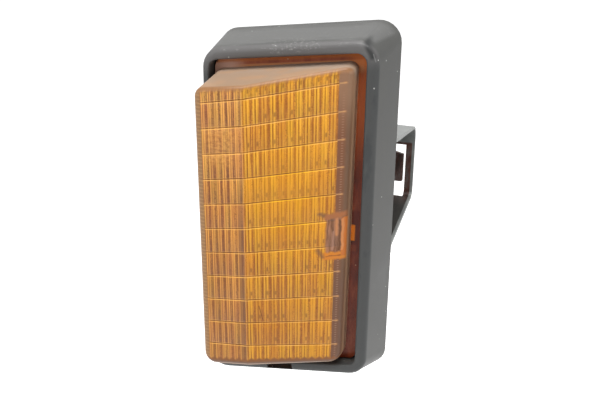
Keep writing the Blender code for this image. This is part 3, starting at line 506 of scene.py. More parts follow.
def make_wear_group():
    """Uneven tone and a fine grain, for moulded plastic and plain metal."""
    tree, given, result = new_group(
        "Handled surface",
        [("Place", "Vector", None), ("Tone", "Color", None), ("Worn tone", "Color", None),
         ("Amount", "Float", 0.3), ("Grain", "Float", 4.0), ("Roughness", "Float", 0.5)],
        [("Color", "Color"), ("Roughness", "Float"), ("Height", "Float")])
    broad = tree.noise(given["Place"], 0.09, 4.0, 0.6)
    tree.put(result["Color"], tree.tint(
        given["Tone"], tree.fade(broad, 0.35, 0.8), given["Amount"], given["Worn tone"]))
    tree.put(result["Roughness"], tree.math(
        "ADD", given["Roughness"], tree.spread(broad, 0.5, 0.25), clamp=True))
    tree.put(result["Height"], tree.noise(given["Place"], given["Grain"]))


def housing_material():
    """Black moulded plastic, satin, with dust, light scuffs, a painted highlight along the top and
    painted shade on the rim.
    """
    material, tree = new_material("housing_black")
    place, x, y, z = tree.millimetres()
    level = tree.level(x, z)
    surface = tree.group("Handled surface", place, rgb(66, 66, 64), rgb(82, 82, 79), 0.7, 2.2, 0.5)

    # Painted highlight: the crowned top is painted paler along its middle, where the light from
    # above falls
    on_top = tree.fade(level, 40.3, 41.3)
    highlight_wobble = tree.stretched(place, (0.1, 0.55, 0.3), 3.0, 0.6)
    across = tree.linear(tree.spread(highlight_wobble, 0.5, 1.0), 6.0, y)
    top_highlight = tree.times(tree.fade(across, -16.8, -14.0), tree.fade(across, -3.5, -8.5), on_top)
    colour = tree.tint(surface["Color"], top_highlight, 0.55, rgb(98, 98, 97))

    # Painted shade: the rim is painted darker, less so towards its top, and it is blotched at the
    # right
    rim = tree.fade(y, -16.2, -17.2)
    rim_shade_tone = tree.mix(tree.fade(level, 35.0, 39.5), rgb(52, 54, 55), rgb(96, 94, 94))
    colour = tree.tint(colour, rim, 0.65, rim_shade_tone)
    blotch = tree.stretched(place, (0.25, 0.25, 0.09), 4.0, 0.65)
    blotch = tree.times(tree.fade(blotch, 0.52, 0.66), tree.fade(x, 15.5, 17.5), rim)

    # A dark crescent and a pale nick at the rim's upper right corner
    front = tree.vector(x, 0.0, z)
    forward = tree.fade(y, -10.5, -13.0)
    dark_crescent = tree.times(tree.stroke(front, (17.6, 43.6), (19.3, 40.9), 1.2, 0.5), forward)
    nick = tree.times(tree.stroke(front, (19.4, 41.4), (20.0, 39.8), 0.14, 0.12), forward)

    # Rubbing on the ridge above the lens, dust, and scuffs along the top
    ridge = tree.times(
        tree.patch(x, level, (-4.5, 7.0), (40.2, 42.2), 0.8), tree.fade(y, -11.0, -13.5))
    rubbed = tree.fade(tree.stretched(place, (1.3, 1.3, 2.6), 4.0, 0.8), 0.52, 0.66)
    specks = tree.group("Dust specks", place, 0.55, 0.11, 0.1)
    streaks = tree.stretched(place, (0.35, 2.0, 1.4), 3.0, 0.7)
    scuff = tree.times(tree.fade(streaks, 0.6, 0.74), on_top)
    colour = tree.layers(
        colour, (blotch, 0.55, 38, 42, 44), (dark_crescent, 0.85, 20, 22, 22),
        (nick, 0.45, 140, 140, 138), (tree.times(rubbed, ridge), 0.6, 146, 146, 144),
        (specks["Mask"], 0.7, 190, 190, 186), (scuff, 0.4, 132, 132, 130))
    tree.finish({
        "Base Color": colour, "Roughness": surface["Roughness"], "Specular IOR Level": 0.35,
        "Normal": tree.bump(surface["Height"], 0.25, 0.04 * MM)})
    return material


def groove_lines(tree, runs, z):
    """Signed distance in mm to the nearest groove, and the row between grooves."""
    fold, first, step = (value / MM for value in GROOVE_FOLD)
    for run, (x, height, pitch) in zip(runs, (GROOVE_LEFT, GROOVE_TIP)):
        along = x / MM - fold
        first = tree.linear(run, (height - GROOVE_FOLD[1]) / MM / along, first)
        step = tree.linear(run, (pitch - GROOVE_FOLD[2]) / MM / along, step)
    count = tree.math("DIVIDE", tree.minus(first, z), step)
    nearest = tree.math("MAXIMUM", tree.math("ROUND", count), 0.0)
    nearest = tree.math("MINIMUM", nearest, GROOVES - 1.0)
    return tree.times(tree.minus(count, nearest), step), tree.math("FLOOR", count)


def edge_distance(tree, runs, z, crest_level, toe_level, side):
    """Distance in mm from the face's top or bottom edge, inwards."""
    at_fold = (crest_level + FOLD_X * RISE) / MM
    at_toe = (toe_level + LENS_RIGHT * RISE) / MM
    slope = (at_toe - at_fold) / ((LENS_RIGHT - FOLD_X) / MM)
    edge = tree.math("ADD", tree.times(runs[0], RISE), tree.times(runs[1], slope))
    return tree.times(tree.minus(tree.math("ADD", edge, at_fold), z), side)


def flute_stripes(tree, place, run, on_slope):
    """Colour across the flutes, each flute's number, and the place within it from 0 to 1."""
    wander = tree.spread(tree.stretched(place, (0.35, 0.35, 0.05)), 0.5, 0.12)
    counts = [tree.math("DIVIDE", run, pitch / MM) for pitch in (CREST_PITCH, SLOPE_PITCH)]
    within = [tree.math("FRACT", tree.math("ADD", count, wander)) for count in counts]
    colours = [tree.ramp(*pair) for pair in zip(within, (CREST_TONES, SLOPE_TONES))]
    number = tree.math("FLOOR", tree.mix_value(on_slope, *counts))
    return tree.mix(on_slope, *colours), number, within


def vary_flutes(tree, colour, place, x, z, row, flute, within, on_slope):
    """The flutes' own tones, with streaks down them and mottling over them."""
    cell = tree.random(tree.vector(flute, row, 1.0))
    column = tree.random(tree.vector(flute, on_slope, 7.0))
    lift = tree.linear(cell, 0.5, tree.times(column, 0.5))
    hue = tree.random(tree.vector(row, flute, 3.0))
    dull = tree.mix_value(
        on_slope, tree.band(within[0], 0.42, 0.8, 0.08),
        tree.minus(1.0, tree.band(within[1], 0.2, 0.86, 0.08)))
    dull = tree.linear(dull, 0.75, 0.25)
    along = tree.vector(tree.times(x, 4.6), tree.times(row, 7.3), tree.times(z, 0.12))
    streak = tree.noise(along, 1.0, 3.0, 0.65)
    mottle = tree.stretched(place, (1.6, 1.0, 1.2), 4.0, 0.75)
    speckle = tree.noise(place, 3.2, 3.0, 0.8)

    # Mask, share, tone on the crest and tone on the slope
    for mask, share, crest_tone, slope_tone in (
            (tree.fade(lift, 0.5, 0.9), 0.6, (206, 140, 66), (222, 150, 34)),
            (tree.fade(lift, 0.5, 0.15), 0.5, (142, 86, 48), (176, 106, 30)),
            (tree.fade(hue, 0.6, 0.9), 0.35, (190, 150, 66), (204, 154, 36)),
            (tree.fade(hue, 0.35, 0.1), 0.35, (168, 100, 66), (186, 112, 48)),
            (tree.times(tree.fade(streak, 0.5, 0.6), dull), 0.75, (118, 70, 42), (140, 78, 24)),
            (tree.fade(streak, 0.47, 0.37), 0.65, (220, 156, 80), (226, 162, 56)),
            (tree.fade(mottle, 0.52, 0.68), 0.45, (206, 134, 58), (220, 146, 36)),
            (tree.times(tree.fade(speckle, 0.53, 0.61), dull), 0.75,
             (116, 72, 42), (130, 76, 24))):
        tone = tree.mix(on_slope, rgb(*crest_tone), rgb(*slope_tone))
        colour = tree.tint(colour, mask, share, tone)
    return colour, streak, mottle


def face_marks(tree, colour, place, x, z, on_slope, pip, bulb_highlight):
    """Places on the face that look different from the flutes around them."""
    # A smear over the upper part of the crest, where the flutes are hard to tell
    ripple = tree.ramp(
        tree.stretched(place, (0.9, 1.0, 1.3), 4.0, 0.7),
        ((0.36, 146, 94, 54), (0.5, 192, 134, 68), (0.62, 216, 158, 80)))
    smear = tree.patch(x, z, (-13.6, -7.4), (17.0, 26.5), 1.6)
    colour = tree.tint(colour, smear, 0.55, ripple)

    # The last flute of the crest is dim and the amber a little deeper, both lower down
    dim = tree.times(tree.band(x, -6.75, -5.6, 0.4), tree.fade(z, 20.0, 0.0))
    colour = tree.tint(colour, dim, 0.68, rgb(112, 74, 52))
    colour = tree.mix(tree.fade(z, 26.0, 4.0), colour, (0.93, 0.89, 0.78, 1.0), "MULTIPLY")

    # A dark pip in some cells, a painted highlight of brighter, yellower amber in front of the
    # bulb, a duller amber low down, a scratch
    scratch = tree.stroke(tree.vector(x, 0.0, z), (-2.7, -17.4), (-1.95, -21.2), 0.14, 0.05)
    return tree.layers(
        colour, (pip, 0.6, 118, 70, 24), (bulb_highlight, 0.35, 222, 150, 12),
        (tree.fade(z, 30.0, -34.0), tree.mix_value(on_slope, 0.3, 0.14), 132, 88, 52),
        (scratch, 0.85, 96, 52, 14))


def smooth_strip(tree, x, z, off_line, mottle):
    """The smooth strip at the right, with a ladder of fine ticks and the grooves' tips."""
    ladder = tree.patch(x, z, (13.35, 13.75), (-34.0, 33.0), 0.15)
    tip = tree.times(tree.fade(off_line, 0.22, 0.1), tree.fade(x, 14.2, 13.7))
    blob = tree.times(tree.fade(off_line, 0.42, 0.12), tree.band(x, 13.5, 14.1, 0.3))
    return tree.layers(
        tree.mix(tree.fade(x, 13.6, 14.6), rgb(114, 72, 48), rgb(100, 74, 54)),
        (tree.fade(z, -6.0, -14.0), 0.7, 92, 66, 52), (mottle, 0.25, 146, 96, 62),
        (tree.times(tree.ticks(z, STRIP_TICK, 0.1), ladder), 0.4, 172, 132, 104),
        (tree.fade(z, 22.0, 34.0), 0.7, 146, 112, 86),
        (tip, 0.6, 204, 152, 100), (blob, 0.4, 196, 140, 88))


def key_frame(tree, x, level, colour):
    """The moulded key frame that shows through the smooth strip."""
    place = tree.vector(x, 0.0, level)
    warp = tree.spread(tree.noise(place, 0.6, 1.0), 0.5, 0.5)
    swirl = tree.spread(tree.stretched(place, (1.2, 1.0, 0.8)), 0.5, 0.9)
    x = tree.math("ADD", x, warp)
    level = tree.math("ADD", level, swirl)
    place = tree.vector(x, 0.0, level)
    low = tree.linear(tree.minus(x, 10.0), 0.16, level)

    # The dim window in the middle, with light and dark streaks down it
    inside = tree.ramp(
        tree.stretched(place, (2.6, 1.0, 0.22), 3.0, 0.6),
        ((0.35, 112, 74, 50), (0.5, 136, 92, 66), (0.65, 158, 112, 84)))
    for start, end, width, tone in (
            ((11.9, 1.4), (12.8, -5.6), 0.45, rgb(104, 68, 46)),
            ((13.0, 1.2), (13.1, -2.8), 0.6, rgb(184, 122, 78)),
            ((12.4, -2.0), (12.3, -6.4), 0.35, rgb(160, 118, 96)),
            ((13.75, 0.6), (13.7, -6.8), 0.45, rgb(94, 56, 26))):
        inside = tree.mix(tree.stroke(place, start, end, width, 0.3), inside, tone)
    colour = tree.mix(tree.patch(x, level, (10.9, 14.1), (-7.2, 1.6), 0.35), colour, inside)

    # Its head, its foot with a dark line, and its right leg
    for along, x_range, z_range, tone, soft in (
            (level, (10.5, 15.0), (1.4, 2.7), rgb(160, 98, 56), 0.45),
            (low, (10.4, 15.5), (-8.7, -6.8), rgb(196, 118, 36), 0.35),
            (low, (11.0, 15.1), (-7.85, -7.6), rgb(140, 78, 30), 0.12),
            (level, (14.15, 15.3), (-8.6, 1.2), rgb(188, 106, 42), 0.2),
            (level, (14.1, 14.6), (-7.0, 1.0), rgb(198, 126, 72), 0.14)):
        colour = tree.mix(tree.patch(x, along, x_range, z_range, soft), colour, tone)
    hooks = (((9.5, 3.1), (10.3, 2.6)), ((9.3, -6.0), (10.3, -7.9)))
    return tree.layers(colour, *(
        (tree.stroke(place, *ends, 0.8, 0.45), 0.8, 112, 74, 50) for ends in hooks))


def lens_material():
    """Amber plastic: fluted face with painted light, shade and highlights, smooth side strip, pale
    frosted walls with a painted reflection on top.
    """
    material, tree = new_material("lens_amber")
    place, x, y, z = tree.undrifted()
    level = tree.level(x, z)
    run = tree.minus(x, FOLD_X / MM)
    runs = [tree.math(side, run, 0.0) for side in ("MINIMUM", "MAXIMUM")]
    on_slope = tree.math("GREATER_THAN", run, 0.0)
    distance, row = groove_lines(tree, runs, z)

    # The flutes, with a dark pip low down in some cells of the slope
    colour, flute, within = flute_stripes(tree, place, run, on_slope)
    colour, streak, mottle = vary_flutes(tree, colour, place, x, z, row, flute, within, on_slope)
    chosen = tree.math("GREATER_THAN", tree.random(tree.vector(flute, row, 11.0)), 0.45)
    pip = tree.times(tree.band(distance, -2.1, -1.1, 0.25),
                     tree.band(within[1], 0.58, 0.8, 0.07), chosen, on_slope)
    # Painted highlight: brighter, yellower amber on the slope in front of the bulb
    reach = tree.vectors("LENGTH", tree.vector(
        tree.minus(x, 3.5), 0.0, tree.times(tree.minus(z, 9.0), 0.5)))["Value"]
    bulb_highlight = tree.times(tree.fade(reach, 11.0, 2.0), on_slope)
    colour = face_marks(tree, colour, place, x, z, on_slope, pip, bulb_highlight)

    # Grooves: painted shade as a dark line in each groove, between two painted highlights, of which
    # the lower is stronger
    off_line = tree.math("ABSOLUTE", distance)
    dark_line = tree.minus(1.0, tree.fade(off_line, 0.05, 0.13))
    below = tree.linear(tree.math("GREATER_THAN", distance, 0.0), 0.6, 0.4)
    groove_highlight = tree.times(tree.band(off_line, 0.15, 0.33, 0.05), below)
    breaks = tree.fade(tree.stretched(place, (0.2, 0.2, 0.45)), 0.42, 0.58)
    highlight_share = tree.linear(tree.minus(1.0, breaks), 0.35, 0.55)
    highlight_tone = tree.mix(bulb_highlight, rgb(230, 172, 86), rgb(242, 186, 30))
    colour = tree.tint(colour, groove_highlight, highlight_share, highlight_tone)
    colour = tree.tint(colour, dark_line, tree.linear(breaks, 0.45, 0.45), rgb(116, 66, 20))

    # The smooth strip, and the key frame behind it
    strip = tree.fade(x, FLUTE_END_X / MM - 0.05, FLUTE_END_X / MM + 0.25)
    colour = tree.mix(strip, colour, smooth_strip(tree, x, z, off_line, mottle))
    colour = key_frame(tree, x, level, colour)

    # Ends of the face: clear bands at the left and bottom, a painted highlight along the bottom
    # edge, and painted shade over the top rounding that leaves pale arches at the flutes' tops
    from_top = edge_distance(tree, runs, z, BASE_TOP - TOP_DROP, BASE_TOP - TOE_DROP, 1.0)
    from_bottom = edge_distance(
        tree, runs, z, BASE_BOTTOM + BOTTOM_RISE, BASE_BOTTOM + TOE_RISE, -1.0)
    off_middle = tree.minus(tree.mix_value(on_slope, *within), 0.5)
    arch = tree.times(tree.math("ABSOLUTE", off_middle), 1.2)
    left_tone = tree.layers(rgb(142, 106, 70), (tree.ticks(z, LEFT_TICK, 0.0), 0.4, 182, 140, 92))
    bottom_tone = tree.mix(tree.fade(from_bottom, 1.3, 0.4), rgb(128, 80, 42), rgb(106, 78, 58))
    bottom_band = tree.fade(tree.math("ADD", from_bottom, arch), 2.3, 1.6)
    colour = tree.mix(tree.fade(x, -14.75, -15.05), colour, left_tone)
    colour = tree.mix(bottom_band, colour, bottom_tone)
    # Painted highlight along the bottom edge, painted shade over the top rounding
    colour = tree.layers(
        colour, (tree.fade(from_bottom, 0.45, 0.0), 0.55, 170, 144, 118),
        (tree.fade(tree.minus(from_top, arch), 1.1, 0.1),
         tree.mix_value(on_slope, 0.85, 0.6), 146, 102, 62))

    # Walls behind the face: pale and cloudy on top, partly a frosted look and partly a painted
    # reflection of the light above, warm at the left, and a painted highlight at the right foot
    behind = tree.minus(y, tree.linear(runs[1], SLOPE, CREST_Y / MM))
    wall = tree.fade(behind, 0.3, 1.1)
    from_base = tree.minus(FLANGE_FRONT_Y / MM, y)
    wall_tone = tree.ramp(tree.math("DIVIDE", from_base, 16.0), (
        (0.0, 152, 138, 126), (0.35, 144, 122, 103), (0.95, 136, 110, 86)))
    cloud = tree.fade(tree.stretched(place, (0.16, 0.2, 0.16), 3.0), 0.42, 0.62)
    wall_tone = tree.tint(wall_tone, cloud, 0.4, rgb(158, 120, 86))
    # Painted highlight along the foot of the right wall, by the flange
    foot_highlight = tree.times(tree.fade(from_base, 0.75, 0.35), tree.fade(x, 10.0, 14.0))
    side_tone = tree.mix(tree.fade(x, 0.0, 10.0), rgb(140, 78, 34), rgb(156, 122, 96))
    side_tone = tree.mix(foot_highlight, side_tone, rgb(232, 196, 160))
    wall_tone = tree.tint(wall_tone, tree.fade(level, 35.5, 33.0), 0.9, side_tone)
    colour = tree.mix(wall, colour, wall_tone)
    # Painted shade along the rounded fold at the top of the face
    fold_shade = tree.times(tree.band(behind, 0.1, 0.9, 0.3), tree.fade(from_top, 1.4, 0.5))
    colour = tree.tint(colour, fold_shade, 0.65, rgb(122, 86, 56))

    height = tree.math("ADD", streak, tree.times(dark_line, -1.2))
    tree.finish({
        "Base Color": colour, "Roughness": tree.linear(wall, 0.1, 0.34),
        "Specular IOR Level": 0.25, "Normal": tree.bump(height, 0.3, 0.1 * MM)})
    return material


def flange_material():
    """Deep red-brown of the amber flange, seen against the dark tub."""
    material, tree = new_material("flange_amber")
    place, x, _, z = tree.millimetres()
    level = tree.level(x, z)
    cloud = tree.stretched(place, (0.5, 0.5, 0.16), 4.0, 0.65)
    # Painted light and shade: the side paler towards its top; on the top a darker upper band in
    # painted shade under the rim, a paler lower band, and a paler left end where painted light
    # lifts the recess's shadow
    side = tree.ramp(cloud, ((0.32, 84, 30, 12), (0.5, 108, 40, 16), (0.68, 130, 60, 32)))
    side = tree.tint(side, tree.fade(z, 10.0, 30.0), 0.75, rgb(184, 92, 44))
    top = tree.ramp(cloud, ((0.32, 128, 58, 36), (0.5, 152, 78, 48), (0.68, 168, 92, 58)))
    top = tree.mix(tree.fade(level, 37.4, 37.1), top, rgb(180, 116, 74))
    top = tree.mix(tree.fade(x, -10.0, -15.0), top, rgb(196, 150, 130))
    colour = tree.mix(tree.fade(level, 33.5, 35.5), side, top)
    grain = tree.noise(place, 1.6, 3.0, 0.8)
    granular = tree.times(tree.fade(grain, 0.52, 0.66), tree.fade(z, -14.0, -26.0))

    # Light caught along the top and right edges, and at the corner between them
    edge = tree.fade(level, 37.6, 38.3)
    right = tree.times(tree.fade(x, 16.5, 17.1), tree.fade(z, 10.0, 34.0))
    corner = tree.times(tree.fade(x, 11.5, 15.5), tree.fade(level, 34.6, 36.4))

    # The nib that snaps into the rim, with darker red-brown around it, a lump below it and painted
    # shade around its edge
    around = tree.patch(x, z, (14.7, 17.2), (-7.6, 3.2), 0.4)
    lump = tree.patch(x, z, (15.0, 16.6), (-7.4, -5.6), 0.35)
    shade = tree.patch(x, z, (14.6, 16.35), (-4.9, -0.2), 0.25)
    nib = tree.patch(x, z, (14.8, 16.15), (-4.6, -0.5), 0.22)
    specks = tree.group("Dust specks", place, 0.8, 0.06, 0.12)
    colour = tree.layers(
        colour, (granular, 0.6, 124, 70, 42), (edge, 0.7, 196, 108, 40),
        (right, 0.55, 176, 84, 30), (corner, 0.6, 188, 96, 30), (around, 0.75, 84, 24, 6),
        (lump, 0.6, 128, 56, 24), (shade, 1.0, 46, 18, 8), (nib, 1.0, 226, 118, 4),
        (specks["Mask"], 0.7, 214, 168, 130))
    tree.finish({
        "Base Color": colour, "Roughness": tree.linear(grain, 0.2, 0.2),
        "Specular IOR Level": 0.2, "Normal": tree.bump(grain, 0.15, 0.05 * MM)})
    return material


def plain_material(name, tone, worn_tone, roughness, metallic=0.0, grain=3.0, bump=0.1):
    """A handled surface with its own tones, for pieces behind the frame."""
    material, tree = new_material(name)
    surface = tree.group("Handled surface", tree.millimetres()[0], rgb(*tone),
                         rgb(*worn_tone), 0.6, grain, roughness)
    tree.finish({
        "Base Color": surface["Color"], "Roughness": surface["Roughness"], "Metallic": metallic,
        "Normal": tree.bump(surface["Height"], bump, 0.03 * MM)})
    return material


def glass_material(name, tone):
    """Clear glass with faint smears."""
    material, tree = new_material(name)
    smear = tree.noise(tree.millimetres()[0], 0.35, 3.0)
    tree.finish({"Base Color": tree.mix(smear, tone, rgb(250, 250, 250)),
                 "Roughness": tree.times(smear, 0.08), "Transmission Weight": 1.0})
    return material


def clip_material():
    """Spring steel: its plain tone outside and along its right edge, with painted shade and a
    painted brown reflection of the lamp inside the bow.
    """
    material, tree = new_material("clip_steel")
    place, x, y, z = tree.millimetres()
    surface = tree.group(
        "Handled surface", place, rgb(112, 114, 112), rgb(160, 163, 159), 0.9, 1.6, 0.42)
    # Painted shade with a painted brown reflection of the lamp, dark grey low on the lower leg
    inner_shade_reflection = tree.ramp(
        tree.stretched(place, (0.5, 0.5, 0.16), 3.0, 0.6),
        ((0.35, 50, 36, 30), (0.5, 84, 52, 42), (0.65, 96, 86, 82)))
    inner_shade_reflection = tree.mix(tree.fade(z, -8.0, -9.6), inner_shade_reflection, rgb(44, 42, 38))

    def above(foot_y, foot_z, back_y, back_z):
        """Height in mm above the middle of a leg."""
        rise = (back_z - foot_z) / (back_y - foot_y)
        return tree.minus(z, tree.linear(tree.minus(y, foot_y / MM), rise, foot_z / MM))
    upper, lower = (above(*leg) for leg in CLIP_LEGS)
    between_legs = tree.times(tree.fade(upper, 0.1, -0.2), tree.fade(lower, -0.1, 0.2))
    front = tree.fade(y, CLIP_BACK / MM + 0.1, CLIP_BACK / MM - 0.2)
    window = tree.patch(x, z, (9.0, 19.4), (-9.4, 5.4), 0.1)
    # The painted shade covers the bow's inside and window, but not a strip along the right edge
    inside = tree.times(
        between_legs, tree.math("MAXIMUM", front, window), tree.fade(z, 6.6, 6.0),
        tree.fade(x, CLIP_RIGHT / MM - 0.6, CLIP_RIGHT / MM - 0.8))
    tree.finish({
        "Base Color": tree.mix(inside, surface["Color"], inner_shade_reflection), "Metallic": 0.25,
        "Roughness": surface["Roughness"],
        "Normal": tree.bump(surface["Height"], 0.3, 0.05 * MM)})
    return material


# Pieces

def lens_section():
    """Corner points of the wedge across the width, with their height limits."""
    rows = ((BASE_LEFT, FLANGE_FRONT_Y, 0.0, 0.0), (CREST_LEFT, CREST_Y, TOP_DROP, BOTTOM_RISE),
            (FOLD_X, CREST_Y, TOP_DROP, BOTTOM_RISE), (LENS_RIGHT, TOE_Y, TOE_DROP, TOE_RISE),
            (LENS_RIGHT, FLANGE_FRONT_Y, -BASE_LIFT, 0.0))
    return [(Vector((x, y, BASE_BOTTOM + rise + x * RISE)),
             Vector((x, y, BASE_TOP - drop + x * RISE))) for x, y, drop, rise in rows]


def is_crest(face):
    return face.normal.y < -0.98 and abs(face.normal.x) < 0.1


def is_slope(face):
    return -0.9 < face.normal.y < -0.8 and face.normal.x > 0.4 and abs(face.normal.z) < 0.1


def is_face(face):
    return is_crest(face) or is_slope(face)


def flute_height(x):
    """Height of the flutes above the lens's face, from 0 to 1, across the width."""
    pitch = CREST_PITCH if x < FOLD_X else SLOPE_PITCH
    if not FOLD_X - CREST_FLUTES * CREST_PITCH <= x <= FLUTE_END_X:
        return 0.0
    return math.sin(math.pi * ((x - FOLD_X) / pitch % 1.0)) ** FLUTE_FULLNESS


def groove_planes(end):
    """A point on each groove and the normal of the plane along it, to one of its ends."""
    for index in range(GROOVES):
        start, finish = (Vector((x, 0.0, first - pitch * index))
                         for x, first, pitch in (GROOVE_FOLD, end))
        along = (finish - start).normalized()
        yield start, Vector((-along.z, 0.0, along.x))


def model_wedge():
    """The smooth wedge, from a five-sided prism with its edges rounded."""
    bpy.ops.mesh.primitive_cylinder_add(vertices=5, radius=LENS_RIGHT, depth=BASE_TOP - BASE_BOTTOM)
    lens = bpy.context.object
    lens.name = "lens_body"
    open_mesh(lens)
    shape = bmesh.from_edit_mesh(lens.data)
    order = sorted((v for v in shape.verts if v.co.z < 0), key=lambda v: math.atan2(v.co.y, v.co.x))
    for vert, (low, high) in zip(order, lens_section()):
        other = next(edge.other_vert(vert) for edge in vert.link_edges
                     if edge.other_vert(vert).co.z > 0)
        vert.co = low
        other.co = high
    bmesh.update_edit_mesh(lens.data)

    def at_corner(side, level):
        return lambda edge: all(
            v.co.x * side > CORNER_BEYOND and v.co.z * level > 0 for v in edge.verts)
    for side, level, radius in CORNERS:
        round_edges(lens, at_corner(side, level), radius, 6)

    def face_sides(edge):
        return [is_face(face) for face in edge.link_faces]
    round_edges(lens, lambda edge: sorted(face_sides(edge)) == [False, True], RIM_RADIUS, 5)
    round_edges(lens, lambda edge: face_sides(edge) == [True, True]
                and edge.calc_face_angle(0.0) > SHARP_ANGLE, FOLD_RADIUS, 2)
    return lens


def model_lens_body(flute_relief, groove_depth):
    """The wedge, with real flutes and grooves on its face."""
    clear_selection()
    lens = model_wedge()
    for test, pitch, flutes in ((is_crest, -CREST_PITCH, CREST_FLUTES),
                                (is_slope, SLOPE_PITCH, SLOPE_FLUTES)):
        for index in range(1, flutes * FLUTE_CUTS + 1):
            x = FOLD_X + pitch * index / FLUTE_CUTS
            cut(lens, test, (x, 0.0, 0.0), (1.0, 0.0, 0.0))
    for test, end in ((is_crest, GROOVE_LEFT), (is_slope, GROOVE_TIP)):
        for point, normal in groove_planes(end):
            for offset in (-GROOVE_HALF, 0.0, GROOVE_HALF):
                cut(lens, test, point + normal * offset, normal)

    shape = bmesh.from_edit_mesh(lens.data)
    lines = {end[0] > 0: list(groove_planes(end)) for end in (GROOVE_LEFT, GROOVE_TIP)}
    for vert in {v for face in shape.faces if is_face(face) for v in face.verts}:
        if not all(is_face(f) for f in vert.link_faces):
            continue
        gaps = [abs((vert.co - point).dot(normal)) for point, normal in lines[vert.co.x > FOLD_X]]
        in_groove = min(gaps) < GROOVE_HALF / 2
        vert.co.y += groove_depth if in_groove else flute_relief * (1.0 - flute_height(vert.co.x))
    bmesh.update_edit_mesh(lens.data)
    close_mesh(40)
    let_lines_drift(lens)
    return lens


def let_lines_drift(lens):
    """Keep each point's place for the material, then let the upright lines drift."""
    kept = lens.data.attributes.new(UNDRIFTED, "FLOAT_VECTOR", "POINT")
    for vert, item in zip(lens.data.vertices, kept.data):
        place = vert.co - MIDDLE
        item.vector = place / MM
        vert.co.x += place.z * drift(place.x)


def model_flange():
    """Flat flange around the wedge, with its leaning, rounded outline."""
    clear_selection()
    bpy.ops.mesh.primitive_cube_add(size=1.0)
    flange = bpy.context.object
    flange.name = "lens_flange"
    open_mesh(flange)
    shape = bmesh.from_edit_mesh(flange.data)
    for vert in shape.verts:
        x = FLANGE_LEFT if vert.co.x < 0 else FLANGE_RIGHT
        vert.co = (x, FLANGE_FRONT_Y if vert.co.y < 0 else FLANGE_BACK_Y,
                   math.copysign(FLANGE_HALF_HEIGHT, vert.co.z) + x * RISE)
    bmesh.update_edit_mesh(flange.data)

    def runs_back(edge):
        return abs(edge.verts[0].co.y - edge.verts[1].co.y) > FLANGE_DEPTH / 2

    def at_front(edge):
        return all(v.co.y < FLANGE_FRONT_Y + FLANGE_DEPTH / 2 for v in edge.verts)
    round_edges(flange, runs_back, FLANGE_CORNER, 8)
    round_edges(flange, at_front, FLANGE_EDGE, 3)
    close_mesh(35)
    return flange


class LampLook(bpy.types.PropertyGroup):
    """Sizes and tones that a user would change."""

    flute_relief: bpy.props.FloatProperty(
        name="Flute relief", description="Height of the flutes on the lens's face",
        default=0.1 * MM, min=0.0, max=0.4 * MM, unit="LENGTH", precision=5)
    groove_depth: bpy.props.FloatProperty(
        name="Groove depth", description="Depth of the grooves across the lens",
        default=0.15 * MM, min=0.0, max=0.6 * MM, unit="LENGTH", precision=5)
    backdrop_tone: bpy.props.FloatProperty(
        name="Backdrop", description="How white the floor and backdrop look",
        default=1.0, min=0.0, max=1.0, subtype="FACTOR")
    light_level: bpy.props.FloatProperty(
        name="Light level", description="Strength of the studio's soft light",
        default=1.0, min=0.0, max=3.0, subtype="FACTOR")


class LAMP_OT_shared_finishes(bpy.types.Operator):
    """Build the node groups that the materials share"""

    bl_idname = "lamp.shared_finishes"
    bl_label = "Shared finishes"

    def execute(self, context):
        make_speckle_group()
        make_wear_group()
        return {"FINISHED"}


class LAMP_OT_lens(bpy.types.Operator):
    """Model the lens: its fluted, grooved wedge and its flange"""

    bl_idname = "lamp.lens"
    bl_label = "Lens"

    def execute(self, context):
        look = context.scene.lamp_look
        body = model_lens_body(look.flute_relief, look.groove_depth)
        give(body, lens_material(), "lens")
        give(model_flange(), flange_material(), slot="lens")
        return {"FINISHED"}


class LAMP_OT_housing(bpy.types.Operator):
    """Finish the black housing, as a smooth copy of its solid"""

    bl_idname = "lamp.housing"
    bl_label = "Housing"

    def execute(self, context):
        give(merged_copy("housing", "housing_shell", 32), housing_material(), "housing")
        return {"FINISHED"}


class LAMP_OT_spring_clip(bpy.types.Operator):
    """Finish the spring clip, as a smooth copy of its solid, and its rivets"""

    bl_idname = "lamp.spring_clip"
    bl_label = "Spring clip"

    def execute(self, context):
        give(merged_copy("spring_clip", "clip_strap", 30), clip_material(), "spring_clip")
        steel = plain_material("rivet_steel", (176, 174, 170), (204, 202, 198), 0.35, 1.0)
        finish_solids(steel, "clip_rivet_lower", "clip_rivet_upper")
        return {"FINISHED"}


class LAMP_OT_inside(bpy.types.Operator):
    """Give the bulb, the socket, the reflector and the seals their finishes"""

    bl_idname = "lamp.inside"
    bl_label = "Bulb and socket"

    def execute(self, context):
        for *finish, nodes in INSIDE_FINISHES:
            finish_solids(plain_material(*finish), *nodes)
        foam = plain_material("foam_rubber", (46, 46, 46), (62, 62, 62), 0.92, grain=6.0, bump=0.8)
        finish_solids(foam, "lens_seal", "panel_gasket")
        clear = glass_material("clear_glass", rgb(238, 242, 240))
        finish_solids(clear, "bulb_glass", "bulb_stem")
        return {"FINISHED"}


def seen_directly(tree):
    """1 for rays from the camera, and for those that gloss or glass sends on."""
    path = tree.add("LightPath").outputs
    sent_on = tree.math("MAXIMUM", path["Is Glossy Ray"], path["Is Transmission Ray"])
    return tree.math("MAXIMUM", path["Is Camera Ray"], sent_on)


